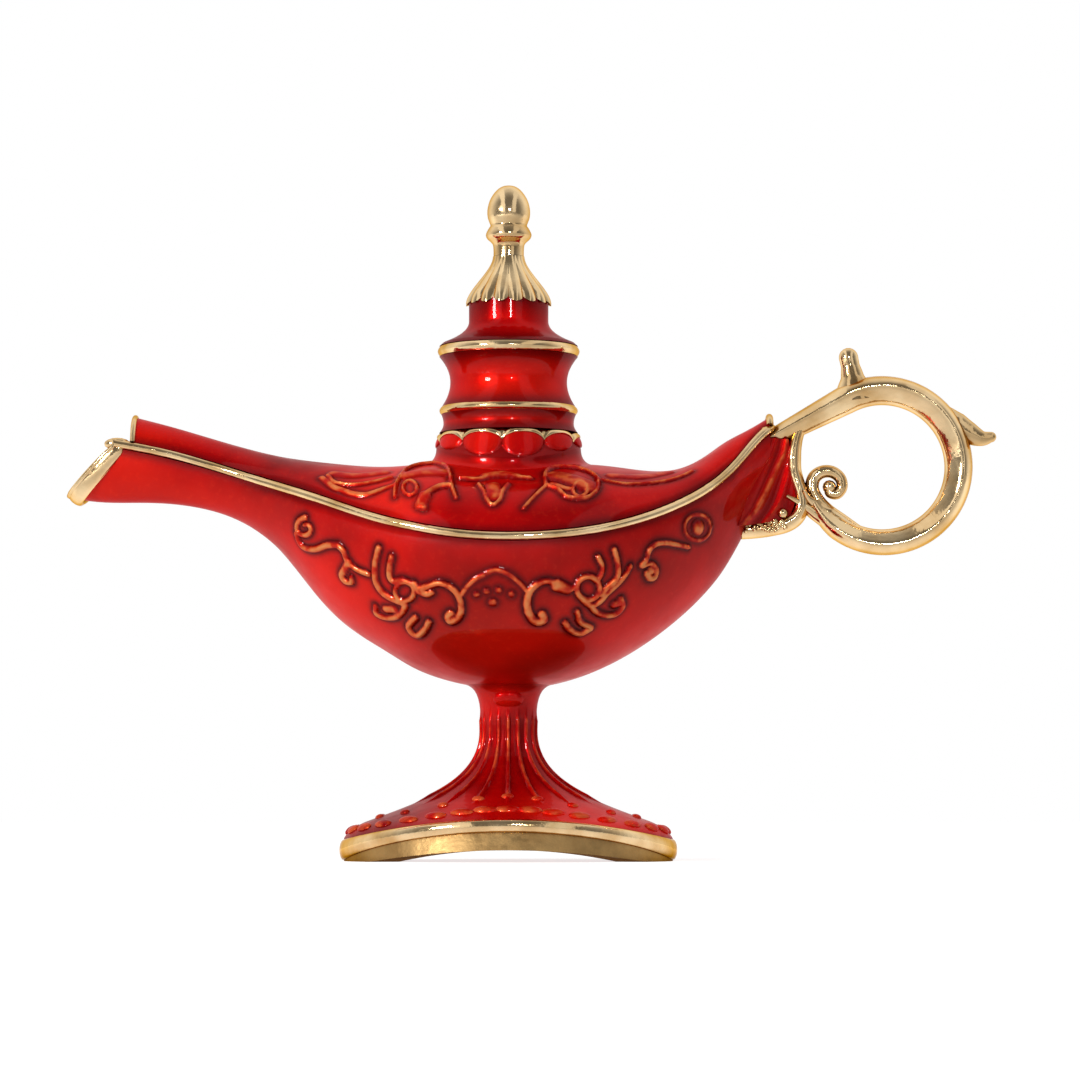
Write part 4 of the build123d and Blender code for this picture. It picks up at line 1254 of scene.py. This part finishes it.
def named_value(tree, name, kind):
    """Socket of a value stored on the points."""
    node = add_node(tree, "GeometryNodeInputNamedAttribute", {"Name": name}, data_type=kind)
    return node.outputs["Attribute"]


def finish_tree(tree, geometry, material):
    """Ends a tree with Realize Instances, smooth shading and Set Material."""
    realized = add_node(tree, "GeometryNodeRealizeInstances", {0: geometry}).outputs[0]
    shaded = add_node(tree, "GeometryNodeSetShadeSmooth", {"Geometry": realized}).outputs[0]
    painted = add_node(tree, "GeometryNodeSetMaterial", {"Geometry": shaded, "Material": material})
    add_node(tree, "NodeGroupOutput", {0: painted.outputs[0]})


def sweep_tree():
    """Tree that sweeps an oval section along a line of edges, with its ends filled."""
    kinds = {"half_width": "NodeSocketFloat", "half_height": "NodeSocketFloat"}
    tree, sockets, entry = node_group("oval_sweep", **kinds)
    circle = add_node(tree, "GeometryNodeCurvePrimitiveCircle", {"Resolution": SWEEP_SIDES, "Radius": 1.0})
    oval = add_node(tree, "ShaderNodeCombineXYZ", {"X": entry["half_width"], "Y": entry["half_height"]})
    shape = {"Geometry": circle.outputs["Curve"], "Scale": oval.outputs["Vector"]}
    section = add_node(tree, "GeometryNodeTransform", shape)
    line = add_node(tree, "GeometryNodeMeshToCurve", {"Mesh": entry["Geometry"]})
    course = {"Curve": line.outputs["Curve"], "Normal": named_value(tree, "sideways", "FLOAT_VECTOR")}
    facing = add_node(tree, "GeometryNodeSetCurveNormal", course, mode="FREE")
    sweep = add_node(tree, "GeometryNodeCurveToMesh", {
        "Curve": facing.outputs["Curve"],
        "Profile Curve": section.outputs["Geometry"],
        "Scale": named_value(tree, "thickness", "FLOAT"),
        "Fill Caps": True,
    })
    finish_tree(tree, sweep.outputs["Mesh"], entry["material"])
    return tree, sockets


def scatter_tree():
    """Tree that sets a rounded lozenge on every point, along its facing and lengthwise directions."""
    tree, sockets, entry = node_group("lozenge_scatter", size="NodeSocketVector")
    shape = {"Segments": LOZENGE_SIDES, "Rings": LOZENGE_ROWS, "Radius": 1.0}
    lozenge = add_node(tree, "GeometryNodeMeshUVSphere", shape)
    turn = {}
    for axis, pivot, attribute in (("Z", "AUTO", "facing"), ("X", "Z", "lengthwise")):
        turn["Vector"] = named_value(tree, attribute, "FLOAT_VECTOR")
        align = add_node(tree, "FunctionNodeAlignRotationToVector", turn, axis=axis, pivot_axis=pivot)
        turn = {"Rotation": align.outputs["Rotation"]}
    places = {"Points": entry["Geometry"], "Instance": lozenge.outputs["Mesh"], "Scale": entry["size"]}
    spread = add_node(tree, "GeometryNodeInstanceOnPoints", {**places, **turn})
    finish_tree(tree, spread.outputs["Instances"], entry["material"])
    return tree, sockets


def grown(name, tree_and_sockets, points, edges, values, **inputs):
    """Plain mesh piece that a geometry tree grows from points and edges with values stored on the points."""
    mesh = bpy.data.meshes.new(name + "_seed")
    mesh.from_pydata([tuple(point) for point in points], edges, [])
    for label, rows in values.items():
        rows = np.array([np.asarray(row, dtype=np.float32) for row in rows])
        kind, field = ("FLOAT", "value") if rows.ndim == 1 else ("FLOAT_VECTOR", "vector")
        mesh.attributes.new(label, kind, "POINT").data.foreach_set(field, rows.ravel())
    seed = linked(name + "_seed", mesh)
    tree, sockets = tree_and_sockets
    step = seed.modifiers.new("grow", "NODES")
    step.node_group = tree
    for label, value in inputs.items():
        step[sockets[label]] = value
    mesh = worked_mesh(seed)
    mesh.name = name
    bpy.data.objects.remove(seed)
    piece = linked(name, mesh)
    face_outwards(piece)
    return piece


def path_tube(name, points, thickness, half_width, half_height, material, sideways=(0, 1, 0)):
    """Oval tube along a path: half_width lies sideways, and thickness scales both along the way."""
    points = np.asarray(points)
    edges = [(k, k + 1) for k in range(len(points) - 1)]
    values = {
        "thickness": np.broadcast_to(thickness, len(points)),
        "sideways": np.broadcast_to(sideways, points.shape),
    }
    size = {"half_width": half_width, "half_height": half_height}
    return grown(name, SWEEP, points, edges, values, material=material, **size)


def scattered(name, places, facing, lengthwise, size, material):
    """Lozenges of one size set on a surface."""
    values = {"facing": facing, "lengthwise": lengthwise}
    return grown(name, SCATTER, places, [], values, material=material, size=size)


# Handle

def ring_point(angle):
    """Point of the ring's middle line."""
    return np.array([RING_X + RING_RADIUS * math.cos(angle), 0, RING_Z + RING_RADIUS * math.sin(angle)])


def strap_path():
    """Middle line of the handle: the arm, then the ring clockwise from its top to its lower end."""
    start = math.pi / 2 + ARM_SLOPE
    arm_end = ring_point(start)
    arm_run = (arm_end[0] - LOOP_LOW.x) / math.cos(ARM_SLOPE) + ARM_ROOT
    back = np.array([math.cos(ARM_SLOPE), 0, math.sin(ARM_SLOPE)])
    arm = [arm_end - back * arm_run * (1 - t) for t in np.linspace(0, 1, ARM_STOPS, endpoint=False)]
    ring = [ring_point(start - RING_SWEEP * t) for t in np.linspace(0, 1, RING_STOPS)]
    return np.array(arm + ring)


def make_strap(trim):
    """Arm and finger ring with a ridge along both faces, wide inner bevels and a slim root and lower end."""
    path = strap_path()
    forward = unit(np.gradient(path, axis=0))
    outward = np.stack([-forward[:, 2], 0 * path[:, 0], forward[:, 0]], axis=1)
    stop = np.arange(len(path))[:, None]
    share = np.clip((stop - ARM_STOPS) / RING_STOPS, 0, 1)
    root = np.clip(1 - stop / ARM_STOPS, 0, 1)
    tip = np.clip((share - STRAP_TIP) / (1 - STRAP_TIP), 0, 1)
    ease = 1 - STRAP_TAPER * share**2 - TIP_TAPER * tip - ROOT_TAPER * root
    section = smooth_line(np.array(STRAP_SECTION + STRAP_SECTION[:1]), SECTION_PIECES)[:-1]
    points = path[:, None] + outward[:, None] * (section[:, 0] * ease * STRAP_HALF)[..., None]
    points[..., 1] += section[:, 1] * ease * STRAP_DEPTH
    dress(lofted("ring_strap", points, trim), LAMP, GOLD, "handle_loop")


def make_spurs(trim):
    """Tapering points on the ring, each with a rounded end."""
    for name, node, offsets, radii, depth in SPURS:
        places = np.array([(RING_X + x * MM, 0, RING_Z + z * MM) for x, z in offsets])
        points = smooth_line(places, SPUR_PIECES)
        thickness = np.interp(np.linspace(0, 1, len(points)), np.linspace(0, 1, len(radii)), radii)
        rise = np.linspace(*DOME_SPAN, DOME_ROWS)
        dome = points[-1] + np.outer(np.sin(rise), unit(points[-1] - points[-2]) * radii[-1] * MM)
        widths = np.concatenate([thickness, radii[-1] * np.cos(rise)]) * MM
        piece = path_tube(name, np.vstack([points, dome]), widths, depth, 1.0, trim)
        dress(piece, LAMP, GOLD, node)


def make_curl(trim):
    """Small curl that rises from the ring's lower end and closes round a ball."""
    path = smooth_line(in_plane(CURL_LINE), LINE_PIECES)
    wire = path_tube("wire", path, np.linspace(*CURL_RADII, len(path)) * MM, CURL_DEPTH, 1.0, trim)
    ball = scattered("ball", in_plane([CURL_BALL]), [(0, -1, 0)], [(1, 0, 0)], CURL_BALL_SIZE, trim)
    dress(joined("ring_curl", [wire, ball]), LAMP, GOLD, "handle_scroll")


def make_leaf_tips(trim):
    """Pointed leaves at the ring's lower end, spread to both sides of the bracket."""
    for name, pixels in LEAF_LINES.items():
        points = smooth_line(in_plane(pixels), LINE_PIECES)
        widths = np.linspace(*LEAF_RADII, len(points)) * MM
        spread = shares(len(points)) ** LEAF_BEND * np.array([0, LEAF_SPREAD, 0])
        sides = (points - spread, points + spread)
        leaves = [path_tube("leaf", side, widths, LEAF_DEPTH, 1.0, trim) for side in sides]
        dress(joined(name, leaves), LAMP, GOLD)


def make_bracket(trim):
    """Gold strap from the arm down to the grainy ledge under the web, and the stud's two heads."""
    line = smooth_line(in_plane(BRACKET_LINE), LINE_PIECES)
    taper = BRACKET_TOP + (1 - BRACKET_TOP) * np.clip(np.linspace(0, 1, len(line)) / BRACKET_EASE, 0, 1)
    strap = path_tube("bracket_strap", line, taper, BRACKET_HALF_DEPTH, BRACKET_HALF_THICK, trim)
    dress(strap, LAMP, GOLD, "handle_bracket")
    grains = np.random.default_rng(GRAIN_SEED).uniform(*GRAIN_FIELD, (GRAINS, 2))
    for name, pixels, size, nodes in (
        ("ledge_grains", grains, GRAIN_RADIUS, ()),
        ("stud_heads", [STUD_PIXEL], STUD_RADIUS, ("handle_rivet",)),
    ):
        out = np.array([0, BRACKET_HALF_DEPTH - size / 2, 0])
        middles = in_plane(pixels)
        places = np.vstack([middles - out, middles + out])
        facing = np.sign(places * np.array([0, 1, 0]))
        piece = scattered(name, places, facing, [(1.0, 0, 0)] * len(places), Vector((size,) * 3), trim)
        dress(piece, LAMP, GOLD, *nodes)


def at_levels(line, count):
    """Points at even shares of a line's points."""
    places = np.linspace(0, 1, len(line))
    return np.stack([np.interp(np.linspace(0, 1, count), places, line[:, k]) for k in range(3)], axis=1)


def make_web(red):
    """Red panel that flows from the bowl's tail to the bracket, with ridges that fan down from the arm."""
    across = shares(WEB_COLUMNS).T
    left = at_levels(smooth_line(on_surface(surface_of("bowl"), WEB_BOWL_EDGE)), WEB_ROWS)
    left[:, 1] += WEB_SINK
    right = at_levels(smooth_line(in_plane(WEB_STRAP_EDGE)), WEB_ROWS)
    right[:, 1] = -WEB_HALF
    front = left[:, None] * (1 - across)[..., None] + right[:, None] * across[..., None]
    ridge = np.zeros(front.shape[:2])
    for start, end, share in WEB_RIDGES:
        middle = start + (end - start) * shares(WEB_ROWS)
        ridge = np.maximum(ridge, share * bell(across - middle, WEB_RIDGE_WIDTH))
    hollow = 4 * across * (1 - across)
    front[..., 1] += WEB_HOLLOW * hollow - RIDGE_HEIGHT * ridge * np.sqrt(hollow)
    rings = np.concatenate([front, front[:, ::-1] * MIRROR], axis=1)
    piece = lofted("ridged_web", rings, red)
    # copper with painted glints on the ridges, painted shade in the hollow between them
    values = {"bare": WEB_WEAR_GLINT * ridge, "pool": WEB_POOL_SHADE * hollow * (1 - ridge)}
    add_values(piece, **{name: np.hstack([side, side[:, ::-1]]) for name, side in values.items()})
    dress(piece, LAMP, RED, "handle_web")


def make_handle(red, trim):
    """Arm, ring, curl, leaves and the two spurs, and the bracket and web that carry them."""
    make_strap(trim)
    make_curl(trim)
    make_leaf_tips(trim)
    make_spurs(trim)
    make_bracket(trim)
    make_web(red)


# Wick

def make_wick(cotton):
    """Twisted strands of the wick, in the place of its solid."""
    low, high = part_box("wick")
    rim = WICK_RADIUS * np.array([math.sin(WICK_TILT), 0, -math.cos(WICK_TILT)])
    start = np.array([high.x, 0, low.z]) - rim
    finish = np.array([low.x, 0, high.z]) + rim
    length = np.linalg.norm(finish - start)
    run = unit(finish - start)
    side = np.array([0, 1.0, 0])
    up = np.cross(run, side)
    share = shares(WICK_STOPS)
    radius = WICK_RADIUS * STRAND_SHARE
    strands = []
    for k in range(WICK_STRANDS):
        turn = TAU * (share * length / WICK_LAY + k / WICK_STRANDS)
        path = start + run * length * share + (np.cos(turn) * side + np.sin(turn) * up) * radius
        strands.append(path_tube("strand", path, radius, 1.0, 1.0, cotton))
    dress(joined("twisted_wick", strands), WICK, "cotton", "wick")


# Materials

def map_range(tree, value, reach, levels, kind):
    """Change between two levels over a reach of a value."""
    limits = dict(zip(("From Min", "From Max", "To Min", "To Max"), (*reach, *levels)))
    node = add_node(tree, "ShaderNodeMapRange", {**limits, "Value": value}, interpolation_type=kind)
    return node.outputs["Result"]


def calculated(tree, operation, first, second, clamp=False):
    """Result of one operation on two numbers."""
    numbers = {0: first, 1: second}
    return add_node(tree, "ShaderNodeMath", numbers, operation=operation, use_clamp=clamp).outputs[0]


class Finish:
    """Material with its shader, and short ways to build up its nodes."""

    def __init__(self, name):
        self.material = bpy.data.materials.new(name)
        self.material.use_nodes = True
        self.tree = self.material.node_tree
        self.shader = self.tree.nodes["Principled BSDF"]

    def set(self, **numbers):
        """Plain numbers on the shader's own sockets."""
        for label, value in numbers.items():
            self.shader.inputs[label.replace("_", " ").title().replace("Ior", "IOR")].default_value = value

    def feed(self, label, socket):
        """Links a socket to the shader."""
        self.tree.links.new(socket, self.shader.inputs[label])

    def noise(self, scale, detail, stretch=None):
        """Noise on the piece's own coordinates, with about scale spots in a metre."""
        place = add_node(self.tree, "ShaderNodeTexCoord").outputs["Object"]
        if stretch:
            mapping = {"Vector": place, "Scale": stretch}
            place = add_node(self.tree, "ShaderNodeMapping", mapping).outputs["Vector"]
        texture = {"Vector": place, "Scale": scale, "Detail": detail}
        return add_node(self.tree, "ShaderNodeTexNoise", texture).outputs["Fac"]

    def ramp(self, factor, *stops):
        """Colours or greys at places between 0 and 1."""
        blend = add_node(self.tree, "ShaderNodeValToRGB", {"Fac": factor})
        elements = blend.color_ramp.elements
        while len(elements) < len(stops):
            elements.new(0.5)
        for element, (place, colour) in zip(elements, stops):
            element.position = place
            element.color = (*colour, 1) if isinstance(colour, tuple) else (colour, colour, colour, 1)
        return blend.outputs["Color"]

    def mix(self, factor, first, second, mode="MIX"):
        """Mix of two colours, each a socket or a plain colour."""
        inputs = {0: factor}
        for index, value in ((6, first), (7, second)):
            inputs[index] = value if isinstance(value, bpy.types.NodeSocket) else (*value, 1)
        return add_node(self.tree, "ShaderNodeMix", inputs, data_type="RGBA", blend_type=mode).outputs[2]

    def stored(self, name):
        """A number stored on the mesh."""
        return add_node(self.tree, "ShaderNodeAttribute", attribute_name=name).outputs["Fac"]

    def openness(self, distance):
        """How open a place is, for painted shade: 0 in a groove, 1 in the open."""
        reach = {"Distance": distance}
        node = add_node(self.tree, "ShaderNodeAmbientOcclusion", reach, samples=GROOVE_SHADE_SAMPLES)
        return node.outputs["AO"]

    def underglow(self, most):
        """Share of faces that look down, for a painted glow: 0 where they are upright, up to the most
        straight below.
        """
        normal = add_node(self.tree, "ShaderNodeNewGeometry").outputs["Normal"]
        split = add_node(self.tree, "ShaderNodeSeparateXYZ", {0: normal})
        return map_range(self.tree, split.outputs["Z"], UNDERGLOW_REACH, (0.0, most), "LINEAR")

    def bumps(self, height, distance, strength):
        """Uneven surface from a height."""
        bump = {"Height": height, "Distance": distance, "Strength": strength}
        self.feed("Normal", add_node(self.tree, "ShaderNodeBump", bump).outputs["Normal"])


def red_enamel():
    """Glassy red enamel over cast metal: darker where it pools, with painted shade there; thin and coppery
    on the ridges, with painted glints there; and a painted lighter glow on faces that look down.
    """
    finish = Finish(RED)
    clouds = finish.noise(scale=30, detail=4)
    colour = finish.ramp(clouds, (0.36, ENAMEL_DEEP), (0.5, ENAMEL_MIDDLE), (0.66, ENAMEL_LIGHT))
    # painted glow: lighter red on faces that look down
    colour = finish.mix(finish.underglow(UNDERGLOW_SHARE), colour, ENAMEL_UNDERGLOW)
    glints = finish.ramp(finish.noise(scale=1100, detail=2), (0.55, BLACK), (0.75, GLINT))
    colour = finish.mix(GLINT_SHARE, colour, glints, "ADD")
    # painted shade: the pooled shade, less the bare ridges, darkens the colour towards the pooled colour
    dark = calculated(finish.tree, "SUBTRACT", finish.stored("pool"), finish.stored("bare"), clamp=True)
    colour = finish.mix(dark, colour, ENAMEL_POOLED_SHADE)
    # worn copper on the ridges, in patches, which also paints their glints
    patchy = finish.ramp(finish.noise(scale=420, detail=2), (0.35, 0.35), (0.6, 1.0))
    worn_and_glint = finish.mix(finish.stored("bare"), BLACK, patchy)
    copper = finish.ramp(worn_and_glint, *COPPER)
    finish.feed("Base Color", finish.mix(finish.ramp(worn_and_glint, (0.2, 0.0), (0.6, 1.0)), colour, copper))
    finish.feed("Roughness", finish.ramp(finish.noise(scale=300, detail=2), (0.3, 0.28), (0.7, 0.40)))
    finish.bumps(finish.noise(scale=220, detail=2), BUMP_DEPTH, strength=0.12)
    finish.set(metallic=0.4, specular_ior_level=0.03, specular_tint=ENAMEL_EDGE)
    finish.set(coat_weight=0.07, coat_roughness=0.02, coat_ior=2.3)
    return finish.material


def cast_gold(name, dark, bright, gloss, grain):
    """Gold-coloured cast metal with uneven polish, amber edges and painted shade that darkens its grooves.
    """
    finish = Finish(name)
    colour = finish.ramp(finish.noise(scale=160, detail=4), (0.3, dark), (0.62, bright))
    # painted shade: darker where the grooves are closed in
    groove_shade = finish.ramp(finish.openness(GROOVE_SHADE_REACH), (0.25, GROOVE_SHADE), (0.85, WHITE))
    finish.feed("Base Color", finish.mix(1.0, colour, groove_shade, "MULTIPLY"))
    polish = finish.noise(scale=700, detail=3)
    finish.feed("Roughness", finish.ramp(polish, (0.3, gloss[0]), (0.7, gloss[1])))
    finish.bumps(finish.noise(scale=420, detail=3), BUMP_DEPTH, grain)
    finish.set(metallic=1.0, specular_tint=GOLD_EDGE)
    return finish.material


def turned_steel():
    """Plain steel with fine turning marks round the upright axis."""
    finish = Finish("steel")
    marks = finish.noise(scale=300, detail=2, stretch=(1, 1, 12))
    finish.feed("Base Color", finish.ramp(marks, (0.3, STEEL_DARK), (0.7, STEEL_BRIGHT)))
    finish.feed("Roughness", finish.ramp(marks, (0.3, 0.24), (0.7, 0.4)))
    finish.bumps(marks, MARK_DEPTH, strength=0.3)
    finish.set(metallic=1.0)
    return finish.material


def cotton_strand():
    """Off-white spun cotton with fine fibres."""
    finish = Finish("cotton")
    fibres = finish.noise(scale=1400, detail=4, stretch=(1, 3, 3))
    finish.feed("Base Color", finish.ramp(fibres, (0.3, COTTON_DARK), (0.7, COTTON_BRIGHT)))
    finish.bumps(fibres, BUMP_DEPTH, strength=0.7)
    finish.set(roughness=0.9, sheen_weight=0.4)
    return finish.material


# Studio

def seen_light(tree, mirrored_light, straight, rest):
    """Strength for rays from the camera, for mirrored and refracted ones, and for the rest."""
    path = add_node(tree, "ShaderNodeLightPath").outputs
    mirrored = calculated(tree, "MAXIMUM", path["Is Glossy Ray"], path["Is Transmission Ray"])
    strength = rest
    for factor, light in ((mirrored, mirrored_light), (path["Is Camera Ray"], straight)):
        blend = add_node(tree, "ShaderNodeMix", {"Factor": factor, "A": strength, "B": light})
        strength = blend.outputs["Result"]
    return strength


def make_floor():
    """Plain pale floor that keeps the lamp's shadow."""
    corners = [(x * FLOOR_HALF, y * FLOOR_HALF, 0) for x, y in ((-1, -1), (1, -1), (1, 1), (-1, 1))]
    finish = Finish("studio_floor")
    finish.set(base_color=FLOOR_COLOUR, roughness=0.9, specular_ior_level=0.0, emission_color=(*WHITE, 1))
    tree = finish.tree
    place = add_node(tree, "ShaderNodeNewGeometry").outputs["Position"]
    split = add_node(tree, "ShaderNodeSeparateXYZ", {0: place})
    away = add_node(tree, "ShaderNodeVectorMath", {0: place}, operation="LENGTH").outputs["Value"]
    glow = map_range(tree, away, FLOOR_SPREAD, (FLOOR_NEAR, FLOOR_FAR), "SMOOTHSTEP")
    levels = (ROOM_DIM * FLOOR_FAR, FLOOR_FAR)
    mirrored = map_range(tree, split.outputs["Y"], FLOOR_REACH, levels, "SMOOTHSTEP")
    finish.feed("Emission Strength", seen_light(tree, mirrored, glow, 0.0))
    mesh_piece("studio_floor", corners, [(0, 1, 2, 3)], [finish.material], smooth=False)


def make_world():
    """White surroundings, mirrored dimmer on the camera's side apart from two tall windows."""
    world = bpy.data.worlds.new("studio")
    world.use_nodes = True
    bpy.context.scene.world = world
    tree = world.node_tree
    background = tree.nodes["Background"].inputs
    background["Color"].default_value = (*WHITE, 1)
    towards = add_node(tree, "ShaderNodeTexCoord").outputs["Generated"]
    split = add_node(tree, "ShaderNodeSeparateXYZ", {0: towards}).outputs
    mirrored = map_range(tree, split["Y"], ROOM_REACH, (ROOM_DIM, 1.0), "SMOOTHSTEP")
    for left, right, light in WINDOWS:
        rise = map_range(tree, split["X"], (left - WINDOW_SOFT, left), (0.0, light), "SMOOTHSTEP")
        fall = map_range(tree, split["X"], (right, right + WINDOW_SOFT), (light, 0.0), "SMOOTHSTEP")
        mirrored = calculated(tree, "MAXIMUM", mirrored, calculated(tree, "MINIMUM", rise, fall))
    tree.links.new(seen_light(tree, mirrored, 1.0, AMBIENT), background["Strength"])


def add_lamp(name, azimuth, elevation, size, power, mirrored):
    """Round soft lamp that shines on the lamp's middle, from angles about the camera's side."""
    data = bpy.data.lights.new(name, "AREA")
    data.shape = "DISK"
    data.size = size
    data.energy = power
    turn, rise = math.radians(azimuth), math.radians(elevation)
    away = Vector((math.sin(turn) * math.cos(rise), -math.cos(turn) * math.cos(rise), math.sin(rise)))
    lamp = linked(name, data)
    lamp.location = AIM + LAMP_DISTANCE * away
    lamp.rotation_euler = (-away).to_track_quat("-Z", "Y").to_euler()
    lamp.visible_glossy = mirrored


def make_studio():
    """Floor, surroundings and lamps."""
    make_floor()
    make_world()
    for lamp in LAMPS:
        add_lamp(*lamp)


def paint_solids(finishes):
    """Gives every CAD node the finish of its slot."""
    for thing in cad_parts.values():
        thing.data.materials[0] = finishes[thing.data.materials[0].name]


bpy.context.scene.view_settings.view_transform = "Standard"
SWEEP = sweep_tree()
SCATTER = scatter_tree()
finishes = {RED: red_enamel(), "steel": turned_steel(), "cotton": cotton_strand()}
for slot, look in GOLDS.items():
    finishes[slot] = cast_gold(slot, *look)
make_camera()
make_studio()
paint_solids(finishes)
make_body(finishes[RED], finishes[GOLD])
make_collar(finishes[RED], finishes[GOLD])
make_lid(finishes[RED], finishes[GOLD])
make_finial(finishes[GOLD])
make_foot(finishes[RED], finishes[GOLD], finishes["matt_gold"])
make_handle(finishes[RED], finishes[GOLD])
make_wick(finishes["cotton"])
